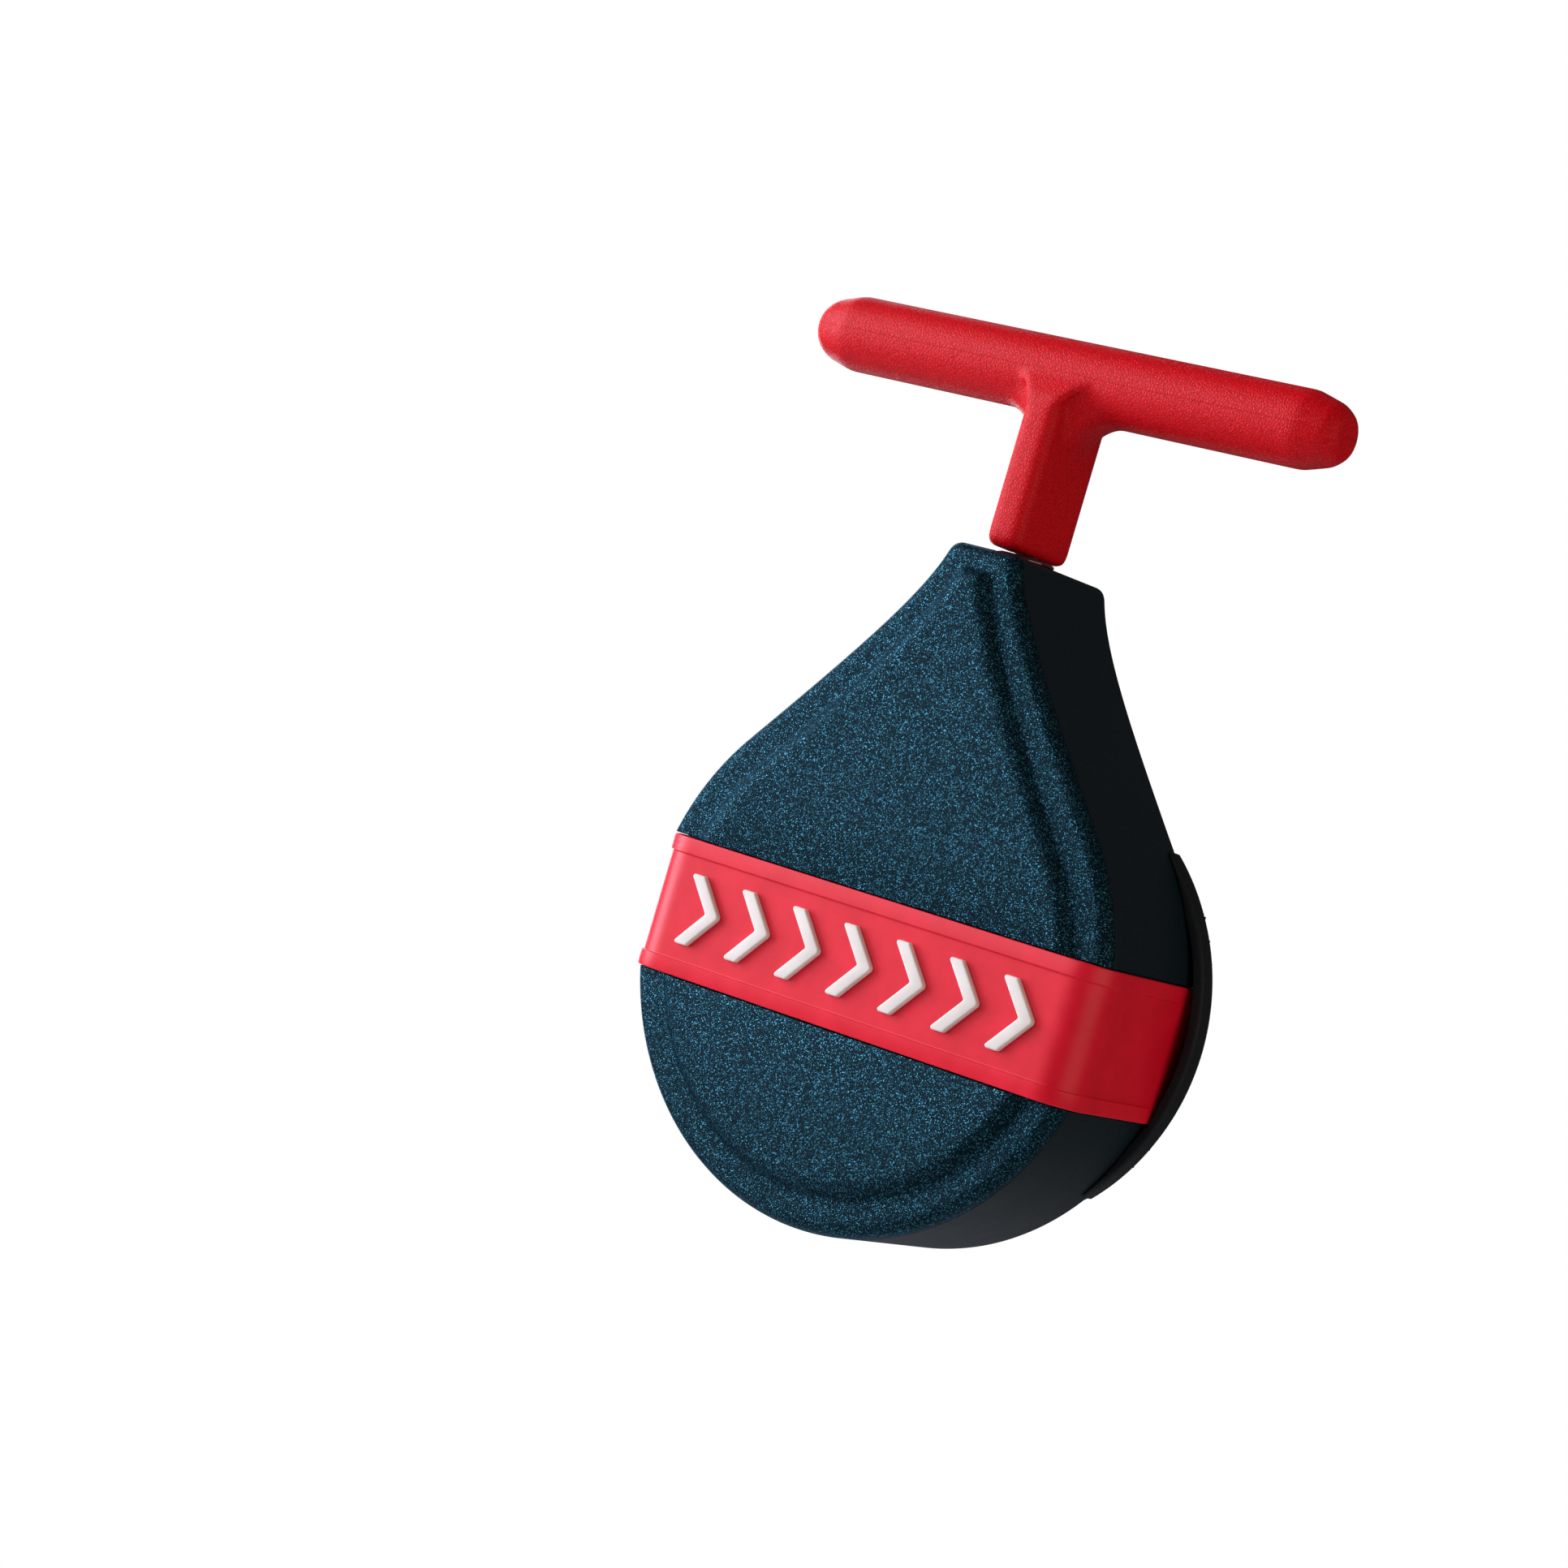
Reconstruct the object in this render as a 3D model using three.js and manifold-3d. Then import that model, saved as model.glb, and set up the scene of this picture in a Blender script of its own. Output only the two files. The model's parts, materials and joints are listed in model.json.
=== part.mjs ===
// Retractable tow reel: a drop-shaped case with a sprung cord spool, a T-shaped pull handle
// and a rubber strap that ties the case to a tube. Millimetres, +Z up along the pull axis.
// The pieces are laid out in the case frame: the origin is where the spool axis crosses the
// plane of the cord, X points right, the front faces -Y. The last lines move that frame so
// that the model's origin is the middle of the channel floor on the back.

import * as THREE from "three";
import { mergeVertices } from "three/addons/utils/BufferGeometryUtils.js";
import Module from "manifold-3d";

const wasm = await Module();
wasm.setup();

// ---- driving dimensions ------------------------------------------------------------------

const GAP = 0.3; // between pieces that rest on each other

// case outline, seen from the front: a circle, two flanks and a narrow neck
const CASE_R = 45.4;
const FLANK_START = THREE.MathUtils.degToRad(39.5); // where the flank leaves the circle
const NECK_HALF = 6.6;
const NECK_TOP = 69.5;
const NECK_LEAN = new THREE.Vector2(-0.25, 0.97).normalize(); // flank direction at the neck
const FLANK_PULL = 26; // handle lengths of the flank curve
const NECK_PULL = 9;
const NECK_CORNER = 1.2;

// case depth, front to back
const PLATEAU_Y = -14.8;
const RIM_Y = -13;
const PARTING_Y = -10.4;
const BACK_Y = 18.2;
const WALL = 2;
const EDGE_R = 2.4;
const PLATEAU_INSET = 7.2; // from the outline to the plateau's foot, on the round part
const PLATEAU_NECK_INSET = 5.2; // the same at the neck
const PLATEAU_SLOPE = 1;
const CAVITY_TOP = 57;
const SKIRT = 2.4; // depth of the cover's locating skirt

// strap and its channel round the case
const STRAP_TOP = 10.2;
const STRAP_BOTTOM = -12.7;
const STRAP_T = 1.5;
const STRAP_SIDE_X = 44.4; // outer face on the sides
const STRAP_FRONT_Y = -14.5; // outer face on the front
const STRAP_CORNER = 6;
const STRAP_GAP = 0.2; // under the strap
const STRAP_SLIT = 0.5; // beside the strap
const STRAP_RIB_W = 2.7;
const STRAP_RIB_H = 0.4;
const STRAP_BACK_Y = 27.25; // middle of the band behind the case

// raised marks on the strap
const MARK_COUNT = 7;
const MARK_PITCH = 10.6;
const MARK_HEIGHT = 12;
const MARK_REACH = 5;
const MARK_STROKE = 2.2;
const MARK_RAISE = 0.95;

// cradle on the back
const CRADLE_Y = 18.5;
const FLOOR_Y = 20.4;
const FLOOR_HALF = 5;
const LAND_Y = 26.2;
const LAND_IN = 15;
const LAND_OUT = 26;
const WING_ARC_R = 39;
const WING_ARC_X = 9.6;
const WING_ARC_Z = 0.5;
const WING_X = WING_ARC_X + WING_ARC_R;
const WING_LIP = 1.8;
const WING_FRONT_Y = 13.5;
const WING_SHOULDER_Y = 21;
const WING_TURN_Y = 16.8; // behind this the wing's side slopes inwards
const WING_BACK_Y = 22;
const WING_TAPER = 3.6;
const LIP_TOP = 30;
const LIP_BOTTOM = -26.5;
const WINDOW_X = [40, 44.6]; // right opening that the strap passes through
const PIN_WINDOW_X = [-44.7, -40.4]; // left opening, with room for the pin
const CRADLE_TOP = 34;
const CRADLE_BOTTOM = -30;

// handle
const BAR_R = 6.5;
const BAR_HALF = 51.6;
const BAR_Z = 100.7;
const BAR_CONE = 7;
const BAR_TIP_R = 4.3;
const STEM_HALF_X = 3.4;
const STEM_HALF_Y = 8.8;
const STEM_BOTTOM = 70.5;
const STEM_EDGE_R = 1.5;
const STEM_FILLET = 8;
const STEM_BORE_R = 2.5;
const STEM_BORE_TOP = 85;

// cord, spool and spring
const CORD_R = 1.5;
const EYELET_R = 5.2;
const FLANGE_R = 37;
const HUB_R = 16;
const WINDING_R = 31;
const DRUM_FRONT = -8;
const DRUM_BACK = 4.3;
const FLANGE_T = 1.5;
const CUP_R = 35;
const CUP_BACK = 14.2;
const AXLE_R = 4.1;
const SPRING_TURNS = 8;
const SPRING_T = 0.6;

// screws: [x, z] on the back of the case
const CASE_SCREWS = [
  [10.5, 51],
  [35.7, 19.3],
  [21.8, -34.2],
].flatMap(([x, z]) => [[x, z], [-x, z]]);
const CRADLE_SCREW_Z = 21;
const POST_R = 3;
const POST_Y = -4; // where the housing's posts meet the cover's bosses
const THREAD_R = 1.2; // threaded holes
const HEAD_R = 2.4;
const HEAD_T = 1.5;
const HEAD_RECESS_R = 2.7;
const HEAD_RECESS = 2;
const AXLE_BOSS_R = 7.5;
const AXLE_BOSS_Y = 14.8;
const OUTLET_R = 4;

// ---- materials ---------------------------------------------------------------------------

const material = (color, roughness, metalness = 0) =>
  new THREE.MeshStandardMaterial({ color, roughness, metalness });

const coverPaint = material(0x12323f, 0.5);
const housingPlastic = material(0x1a1e23, 0.65);
const cradleRubber = material(0x17191c, 0.8);
const strapRubber = material(0xc2182c, 0.5);
const markRubber = material(0xede3da, 0.6);
const gripPlastic = material(0xb8141f, 0.6);
const glossPlastic = material(0x241518, 0.15);
const cordFibre = material(0x2a2c30, 0.9);
const innerPlastic = material(0x3b3e42, 0.5);
const steel = material(0xb4b7ba, 0.35, 1);
const springSteel = material(0x7d8288, 0.3, 1);
const brass = material(0xb7954c, 0.35, 1);

// ---- solids ------------------------------------------------------------------------------

function solid(geometry) {
  const bare = geometry.clone();
  bare.deleteAttribute("normal");
  bare.deleteAttribute("uv");
  const merged = mergeVertices(bare, 1e-4);
  return new wasm.Manifold(new wasm.Mesh({
    numProp: 3,
    vertProperties: new Float32Array(merged.attributes.position.array),
    triVerts: new Uint32Array(merged.index.array),
  }));
}

function geometryOf(manifold) {
  const mesh = manifold.getMesh();
  const geometry = new THREE.BufferGeometry();
  geometry.setAttribute("position", new THREE.BufferAttribute(mesh.vertProperties, 3));
  geometry.setIndex(new THREE.BufferAttribute(mesh.triVerts, 1));
  return geometry;
}

const join = (first, ...rest) => rest.reduce((sum, next) => sum.add(next), first);
const cut = (first, ...rest) => rest.reduce((sum, next) => sum.subtract(next), first);

function boxSolid([x0, x1], [y0, y1], [z0, z1]) {
  const geometry = new THREE.BoxGeometry(x1 - x0, y1 - y0, z1 - z0);
  return solid(geometry.translate((x0 + x1) / 2, (y0 + y1) / 2, (z0 + z1) / 2));
}

// A shape drawn in X and Z, extruded from y0 back to y1, its edges rounded by bevel.
function slabY(points, y0, y1, bevel = 0, bevelDepth = bevel, steps = 3) {
  const geometry = new THREE.ExtrudeGeometry(new THREE.Shape(points), {
    depth: y1 - y0 - 2 * bevelDepth,
    bevelEnabled: bevel > 0,
    bevelSize: bevel,
    bevelThickness: bevelDepth,
    bevelOffset: -bevel,
    bevelSegments: steps,
  });
  return solid(geometry.translate(0, 0, bevelDepth).rotateX(Math.PI / 2).translate(0, y1, 0));
}

// A shape drawn in X and Y, extruded from z0 up to z1.
function slabZ(points, z0, z1) {
  const geometry = new THREE.ExtrudeGeometry(new THREE.Shape(points), {
    depth: z1 - z0,
    bevelEnabled: false,
  });
  return solid(geometry.translate(0, 0, z0));
}

// A solid skinned over rings of [x, z] points, each ring in a plane of constant y.
function skinY(rings) {
  const count = rings[0].points.length;
  const position = rings.flatMap(({ y, points }) => points.flatMap((p) => [p.x, y, p.y]));
  const index = [];
  for (let i = 0; i + 1 < rings.length; i += 1) {
    for (let k = 0; k < count; k += 1) {
      const [a, b] = [i * count + k, i * count + ((k + 1) % count)];
      index.push(a, b + count, b, a, a + count, b + count);
    }
  }
  const last = (rings.length - 1) * count;
  THREE.ShapeUtils.triangulateShape(rings[0].points, []).forEach(([a, b, c]) => index.push(a, b, c));
  THREE.ShapeUtils.triangulateShape(rings[rings.length - 1].points, [])
    .forEach(([a, b, c]) => index.push(last + c, last + b, last + a));
  return new wasm.Manifold(new wasm.Mesh({
    numProp: 3,
    vertProperties: new Float32Array(position),
    triVerts: new Uint32Array(index),
  }));
}

// A closed profile of [radius, height] pairs turned about Y or about Z.
function turnedY(profile, segments = 32) {
  const points = [...profile, profile[0]].map(([r, h]) => new THREE.Vector2(r, h));
  return solid(new THREE.LatheGeometry(points, segments));
}

function turnedZ(profile, segments = 32) {
  const points = [...profile, profile[0]].map(([r, h]) => new THREE.Vector2(r, h));
  return solid(new THREE.LatheGeometry(points, segments).rotateX(Math.PI / 2));
}

function rodY(radius, y0, y1, x = 0, z = 0, segments = 16) {
  const geometry = new THREE.CylinderGeometry(radius, radius, y1 - y0, segments);
  return solid(geometry.translate(x, (y0 + y1) / 2, z));
}

function rodZ(radius, z0, z1, x = 0, y = 0, segments = 16) {
  const geometry = new THREE.CylinderGeometry(radius, radius, z1 - z0, segments);
  return solid(geometry.rotateX(Math.PI / 2).translate(x, y, (z0 + z1) / 2));
}

// ---- outlines ----------------------------------------------------------------------------

const polar = (radius, angle) => new THREE.Vector2(radius * Math.cos(angle), radius * Math.sin(angle));

// The right half of the case outline from bottom to neck, each point moved in by inset(share),
// where share goes from 0 on the circle to 1 at the neck. It is closed flat at the height top.
function outline(inset = () => 0, top = NECK_TOP, arcSteps = 26, flankSteps = 12) {
  const half = [];
  for (let i = 0; i <= arcSteps; i += 1) {
    const angle = -Math.PI / 2 + ((FLANK_START + Math.PI / 2) * i) / arcSteps;
    half.push(polar(CASE_R - inset(0), angle));
  }
  const start = polar(CASE_R, FLANK_START);
  const end = new THREE.Vector2(NECK_HALF, NECK_TOP);
  const leave = new THREE.Vector2(-Math.sin(FLANK_START), Math.cos(FLANK_START));
  const flank = new THREE.CubicBezierCurve(
    start,
    start.clone().addScaledVector(leave, FLANK_PULL),
    end.clone().addScaledVector(NECK_LEAN, -NECK_PULL),
    end,
  );
  for (let i = 1; i <= flankSteps; i += 1) {
    const share = i / flankSteps;
    const along = flank.getTangent(share);
    const outward = new THREE.Vector2(along.y, -along.x);
    half.push(flank.getPoint(share).addScaledVector(outward, -inset(share)));
  }
  const below = half.filter((p) => p.y < top);
  const last = below[below.length - 1];
  const next = half[below.length] ?? last.clone().addScaledVector(NECK_LEAN, top - last.y);
  const share = (top - NECK_CORNER - last.y) / (next.y - last.y || 1);
  const side = Math.max(last.x + (next.x - last.x) * THREE.MathUtils.clamp(share, 0, 1), 0.6);
  const kept = below.filter((p) => p.y < top - NECK_CORNER);
  const corner = Math.min(NECK_CORNER, side / 2);
  const right = [...kept, new THREE.Vector2(side, top - corner), new THREE.Vector2(side - corner, top)];
  const left = right.slice(1).reverse().map((p) => new THREE.Vector2(-p.x, p.y));
  return [...right, ...left];
}

const inner = (distance) => () => distance;

// Points along a polyline whose corners are rounded by their radius: [x, y, radius].
function roundedPath(corners, steps = 5) {
  const points = corners.map(([x, y]) => new THREE.Vector2(x, y));
  const path = [points[0]];
  for (let i = 1; i < points.length - 1; i += 1) {
    const back = points[i - 1].clone().sub(points[i]).normalize();
    const ahead = points[i + 1].clone().sub(points[i]).normalize();
    const halfTurn = Math.acos(THREE.MathUtils.clamp(back.dot(ahead), -1, 1)) / 2;
    const radius = corners[i][2];
    const reach = radius / Math.tan(halfTurn);
    const middle = back.clone().add(ahead).normalize();
    const centre = points[i].clone().addScaledVector(middle, radius / Math.sin(halfTurn));
    const from = points[i].clone().addScaledVector(back, reach).sub(centre);
    const to = points[i].clone().addScaledVector(ahead, reach).sub(centre);
    const turn = Math.atan2(from.x * to.y - from.y * to.x, from.dot(to));
    for (let k = 0; k <= steps; k += 1) {
      path.push(from.clone().rotateAround(new THREE.Vector2(), (turn * k) / steps).add(centre));
    }
  }
  path.push(points[points.length - 1]);
  return path;
}

// The closed outline of a band that lies between two distances to the left of a path.
function bandAlong(path, low, high) {
  const side = (distance) => path.map((point, i) => {
    const before = path[Math.max(i - 1, 0)];
    const after = path[Math.min(i + 1, path.length - 1)];
    const into = point.clone().sub(before).normalize();
    const out = after.clone().sub(point).normalize();
    const along = into.clone().add(out).normalize();
    const left = new THREE.Vector2(-along.y, along.x);
    const stretch = 1 / Math.max(0.5, left.dot(new THREE.Vector2(-out.y, out.x)) || 1);
    return point.clone().addScaledVector(left, distance * stretch);
  });
  return [...side(low), ...side(high).reverse()];
}

// ---- case --------------------------------------------------------------------------------

// Everything outside the strap's seat, over the strap's height.
function strapChannel() {
  const seatX = STRAP_SIDE_X - STRAP_T - STRAP_GAP;
  const seatY = STRAP_FRONT_Y + STRAP_T + STRAP_GAP;
  const corner = STRAP_CORNER - STRAP_T;
  const farBack = 60;
  const seat = roundedPath([
    [-seatX, farBack, 0], [-seatX, seatY, corner], [seatX, seatY, corner], [seatX, farBack, 0],
  ]);
  const height = [STRAP_BOTTOM - STRAP_SLIT, STRAP_TOP + STRAP_SLIT];
  const around = boxSolid([-60, 60], [-40, 50], height);
  return around.subtract(slabZ(seat, height[0] - 1, height[1] + 1));
}

// The part of a cavity that stays solid behind the strap's seat.
function strapBacking() {
  const inside = STRAP_SIDE_X - STRAP_T - STRAP_GAP - WALL;
  const height = [STRAP_BOTTOM - WALL, STRAP_TOP + WALL];
  return [[-60, -inside], [inside, 60]].map((side) => boxSolid(side, [-30, 30], height));
}

function frontCover() {
  const plateauInset = (share) => THREE.MathUtils.lerp(PLATEAU_INSET, PLATEAU_NECK_INSET, share);
  const rim = slabY(outline(), RIM_Y, PARTING_Y + 8, EDGE_R);
  const plateau = slabY(outline(plateauInset, NECK_TOP - 1.5), PLATEAU_Y, PLATEAU_Y + 4.6,
    PLATEAU_SLOPE, RIM_Y - PLATEAU_Y, 2);
  const hollow = cut(
    slabY(outline(inner(WALL), CAVITY_TOP), RIM_Y + WALL, PARTING_Y + 1),
    boxSolid([-60, 60], [-30, 30], [CAVITY_TOP, 90]),
  );
  const pocket = cut(
    slabY(outline((share) => plateauInset(share) + WALL, CAVITY_TOP - 6), PLATEAU_Y + WALL, PARTING_Y),
    boxSolid([-60, 60], [-30, 30], [STRAP_BOTTOM - WALL, STRAP_TOP + WALL]),
  );
  const skirtOut = WALL + GAP;
  const skirt = cut(
    slabY(outline(inner(skirtOut), CAVITY_TOP - GAP), RIM_Y + 1, PARTING_Y + SKIRT),
    slabY(outline(inner(skirtOut + 1.2), CAVITY_TOP - 1.5), RIM_Y, PARTING_Y + SKIRT + 1),
    boxSolid([-60, 60], [-30, 30], [STRAP_BOTTOM - WALL - 1, STRAP_TOP + WALL + 1]),
  );
  const room = slabY(outline(inner(skirtOut), CAVITY_TOP - GAP), RIM_Y, 0);
  const bosses = CASE_SCREWS.map(([x, z]) => rodY(POST_R, RIM_Y + 1, POST_Y - GAP, x, z).intersect(room));
  const pilots = CASE_SCREWS.map(([x, z]) => rodY(THREAD_R, -10, 0, x, z, 12));
  const behind = boxSolid([-60, 60], [PARTING_Y, 20], [-60, 90]);
  const shell = cut(join(rim, plateau), behind, hollow, pocket);
  return cut(join(shell, skirt, ...bosses), ...pilots, strapChannel());
}

function rearHousing() {
  const body = cut(
    slabY(outline(), PARTING_Y - 8, BACK_Y, EDGE_R),
    boxSolid([-60, 60], [-40, PARTING_Y], [-60, 90]),
  );
  const cavity = cut(
    slabY(outline(inner(WALL), CAVITY_TOP), PARTING_Y - 2, BACK_Y - WALL),
    boxSolid([-60, 60], [-30, 30], [CAVITY_TOP, 90]),
    ...strapBacking(),
  );
  const posts = CASE_SCREWS.map(([x, z]) => rodY(POST_R, POST_Y, BACK_Y - 1, x, z));
  const axleBoss = rodY(AXLE_BOSS_R, AXLE_BOSS_Y, BACK_Y - 1, 0, 0, 24);
  const bores = CASE_SCREWS.flatMap(([x, z]) => [
    rodY(1.6, -6, 20, x, z, 12),
    rodY(HEAD_RECESS_R, BACK_Y - HEAD_RECESS, 20, x, z, 16),
  ]);
  return cut(
    join(cut(body, cavity), ...posts, axleBoss),
    ...bores,
    rodY(AXLE_R + 0.1, 10, BACK_Y - 1, 0, 0, 24),
    rodZ(OUTLET_R, CAVITY_TOP - 5, NECK_TOP + 5, 0, 0, 24),
    ...[1, -1].map((side) => rodY(THREAD_R, 14, 20, 0, side * CRADLE_SCREW_Z, 12)),
    strapChannel(),
  );
}

function caseScrew([x, z]) {
  const top = BACK_Y - 0.2;
  const head = rodY(HEAD_R, top - HEAD_T, top, x, z, 20);
  const recess = solid(new THREE.CylinderGeometry(1.1, 1.1, 1, 6)
    .translate(x, BACK_Y - 0.5, z));
  return cut(join(head, rodY(1, -9, BACK_Y - 1.5, x, z, 10)), recess);
}

// ---- cradle ------------------------------------------------------------------------------

// The cradle's outline from behind: two wing arcs between a gently curved top and bottom.
function cradleOutline(inset = 0) {
  const radius = WING_ARC_R - inset;
  const right = [];
  const steps = 24;
  const low = Math.asin((CRADLE_BOTTOM - WING_ARC_Z) / WING_ARC_R) + 0.02;
  const high = Math.asin((CRADLE_TOP - 4 - WING_ARC_Z) / WING_ARC_R) + 0.02;
  for (let i = 0; i <= steps; i += 1) {
    right.push(polar(radius, low + ((high - low) * i) / steps)
      .add(new THREE.Vector2(WING_ARC_X, WING_ARC_Z)));
  }
  const crown = [new THREE.Vector2(16, CRADLE_TOP - 0.8 - inset)];
  const foot = [new THREE.Vector2(16, CRADLE_BOTTOM - 0.6 + inset)];
  const side = [...foot, ...right, ...crown];
  return [...side, ...side.slice().reverse().map((p) => new THREE.Vector2(-p.x, p.y))];
}

function cradleSection() {
  const flank = [];
  const steps = 6;
  const start = new THREE.Vector2(LAND_IN, LAND_Y);
  const end = new THREE.Vector2(FLOOR_HALF, FLOOR_Y);
  const curve = new THREE.QuadraticBezierCurve(start, new THREE.Vector2(11, FLOOR_Y + 0.9), end);
  for (let i = 0; i <= steps; i += 1) {
    flank.push(curve.getPoint(i / steps));
  }
  const right = [
    new THREE.Vector2(WING_X + 1, CRADLE_Y),
    new THREE.Vector2(WING_X + 1, WING_SHOULDER_Y - 1.6),
    new THREE.Vector2(WING_X - 2, WING_SHOULDER_Y),
    new THREE.Vector2(LAND_OUT, LAND_Y),
    ...flank,
  ];
  return [...right, ...right.slice().reverse().map((p) => new THREE.Vector2(-p.x, p.y))];
}

const SLOPE = Math.atan2(LAND_Y - WING_SHOULDER_Y, WING_X - 2 - LAND_OUT);
const KNOB_X = -33;
const KNOB_Y = LAND_Y - (-KNOB_X - LAND_OUT) * Math.tan(SLOPE);

function cradle() {
  const slope = WING_BACK_Y - WING_TURN_Y;
  const shape = slabY(cradleOutline(), WING_FRONT_Y - slope, WING_BACK_Y, WING_TAPER, slope, 1);
  const raised = slabY(cradleOutline(WING_TAPER), CRADLE_Y, LAND_Y + 1);
  const plate = slabZ(cradleSection(), CRADLE_BOTTOM - 2, CRADLE_TOP + 2)
    .intersect(join(shape, raised));
  const lip = cut(
    slabY(cradleOutline(), WING_FRONT_Y, CRADLE_Y + 0.5),
    slabY(cradleOutline(WING_LIP), WING_FRONT_Y - 1, CRADLE_Y + 1),
    slabY(outline(inner(-GAP), NECK_TOP + GAP), WING_FRONT_Y - 1, BACK_Y + GAP),
    boxSolid([-60, 60], [0, 30], [LIP_TOP, 60]),
    boxSolid([-60, 60], [0, 30], [-60, LIP_BOTTOM]),
  ).intersect(shape);
  const window = [STRAP_BOTTOM - STRAP_SLIT, STRAP_TOP + STRAP_SLIT];
  const windows = [PIN_WINDOW_X, WINDOW_X].map((x) => boxSolid(x, [10, 30], window));
  const pinRoom = PIN_R + 0.4;
  const pinSeat = boxSolid([BEAD_X - pinRoom, BEAD_X + pinRoom], [BEAD_Y - 3, BEAD_Y + pinRoom],
    [STRAP_BOTTOM - 2, STRAP_TOP + 2]);
  const screws = [1, -1].flatMap((side) => [
    rodY(1.5, 10, 30, 0, side * CRADLE_SCREW_Z, 12),
    rodY(2.9, FLOOR_Y - 1.1, 30, 0, side * CRADLE_SCREW_Z, 16),
  ]);
  return cut(join(plate, lip), ...windows, pinSeat, knobHole(), ...screws);
}

function knobHole() {
  const geometry = new THREE.CylinderGeometry(1.8, 1.8, 20, 16);
  return solid(geometry.rotateZ(SLOPE).translate(KNOB_X, KNOB_Y, STRAP_MID));
}

function cradleScrew(side) {
  const z = side * CRADLE_SCREW_Z;
  const head = rodY(2.6, FLOOR_Y - 0.9, FLOOR_Y - 0.1, 0, z, 20);
  const recess = solid(new THREE.CylinderGeometry(1.1, 1.1, 0.6, 6).translate(0, FLOOR_Y - 0.2, z));
  return cut(join(head, rodY(0.9, 15.6, FLOOR_Y - 0.6, 0, z, 10)), recess);
}

// ---- strap -------------------------------------------------------------------------------

const STRAP_MID = (STRAP_TOP + STRAP_BOTTOM) / 2;
const SIDE_X = STRAP_SIDE_X - STRAP_T / 2;
const FRONT_Y = STRAP_FRONT_Y + STRAP_T / 2;
const ENTRY_Y = 18.6; // where the band turns inwards, behind the case
const BEND_X = 41.4;
const BEND_Y = STRAP_BACK_Y - (BEND_X - LAND_OUT) * Math.tan(SLOPE);
const BEAD_R = 1.6;
const BEAD_X = -42.6;
const BEAD_Y = 20.2;
const PIN_R = 0.75;
const TAIL_X = -39.5;

function strap() {
  const bend = STRAP_CORNER - STRAP_T / 2;
  const wrap = roundedPath([
    [BEAD_X, BEAD_Y, 0], [-SIDE_X, ENTRY_Y, 1.6], [-SIDE_X, FRONT_Y, bend],
    [SIDE_X, FRONT_Y, bend], [SIDE_X, ENTRY_Y, 2.2],
    [BEND_X, BEND_Y, 2.2], [LAND_OUT, STRAP_BACK_Y, 6], [-LAND_OUT, STRAP_BACK_Y, 6],
    [TAIL_X, STRAP_BACK_Y - (-TAIL_X - LAND_OUT) * Math.tan(SLOPE), 0],
  ]);
  const half = STRAP_T / 2;
  const band = slabZ(bandAlong(wrap, -half, half), STRAP_BOTTOM, STRAP_TOP);
  const ribPath = roundedPath([
    [-SIDE_X, 13, 0], [-SIDE_X, FRONT_Y, bend], [SIDE_X, FRONT_Y, bend], [SIDE_X, 13, 0],
  ]);
  const rib = bandAlong(ribPath, -half - STRAP_RIB_H, 0);
  const ribs = [
    slabZ(rib, STRAP_TOP - STRAP_RIB_W, STRAP_TOP),
    slabZ(rib, STRAP_BOTTOM, STRAP_BOTTOM + STRAP_RIB_W),
  ];
  const bead = rodZ(BEAD_R, STRAP_BOTTOM, STRAP_TOP, BEAD_X, BEAD_Y, 16);
  const pinHole = rodZ(PIN_R + 0.2, STRAP_BOTTOM - 5, STRAP_TOP + 5, BEAD_X, BEAD_Y, 16);
  const notch = knobSolid(2.4, -2, 6);
  const narrow = [
    boxSolid([-60, -18], [22.4, 40], [STRAP_MID + 8, 20]),
    boxSolid([-60, -18], [22.4, 40], [-20, STRAP_MID - 8]),
  ];
  return cut(join(band, ...ribs, bead), pinHole, notch, ...narrow);
}

// A round piece that stands on the cradle's left slope, from low to high above it.
function knobSolid(radius, low, high) {
  const geometry = new THREE.CylinderGeometry(radius, radius, high - low, 16);
  return solid(geometry.translate(0, (low + high) / 2, 0).rotateZ(SLOPE)
    .translate(KNOB_X, KNOB_Y, STRAP_MID));
}

function strapMark(index) {
  const centre = (index - (MARK_COUNT - 1) / 2) * MARK_PITCH;
  const rise = MARK_HEIGHT / 2;
  const stroke = MARK_STROKE * Math.hypot(rise, MARK_REACH) / rise;
  const tip = centre + (MARK_REACH + stroke) / 2;
  const points = [
    [tip - MARK_REACH - stroke, -rise], [tip - MARK_REACH, -rise], [tip, 0],
    [tip - MARK_REACH, rise], [tip - MARK_REACH - stroke, rise], [tip - stroke, 0],
  ].map(([x, z]) => new THREE.Vector2(x, z + STRAP_MID));
  return slabY(points, STRAP_FRONT_Y - 0.05 - MARK_RAISE, STRAP_FRONT_Y - 0.05);
}

// ---- handle and cord ---------------------------------------------------------------------

function handleGrip() {
  const tip = BAR_HALF;
  const bar = solid(new THREE.LatheGeometry([
    [0, -tip], [BAR_TIP_R - 1, -tip], [BAR_TIP_R, -tip + 0.6], [BAR_R - 0.4, -tip + BAR_CONE - 1],
    [BAR_R, -tip + BAR_CONE + 0.6], [BAR_R, tip - BAR_CONE - 0.6],
    [BAR_R - 0.4, tip - BAR_CONE + 1], [BAR_TIP_R, tip - 0.6], [BAR_TIP_R - 1, tip], [0, tip],
  ].map(([r, h]) => new THREE.Vector2(r, h)), 28)
    .rotateZ(Math.PI / 2).translate(0, 0, BAR_Z));
  const bore = rodZ(STEM_BORE_R, STEM_BOTTOM - 1, STEM_BORE_TOP, 0, 0, 20);
  return cut(join(bar, stem()), bore);
}

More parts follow.
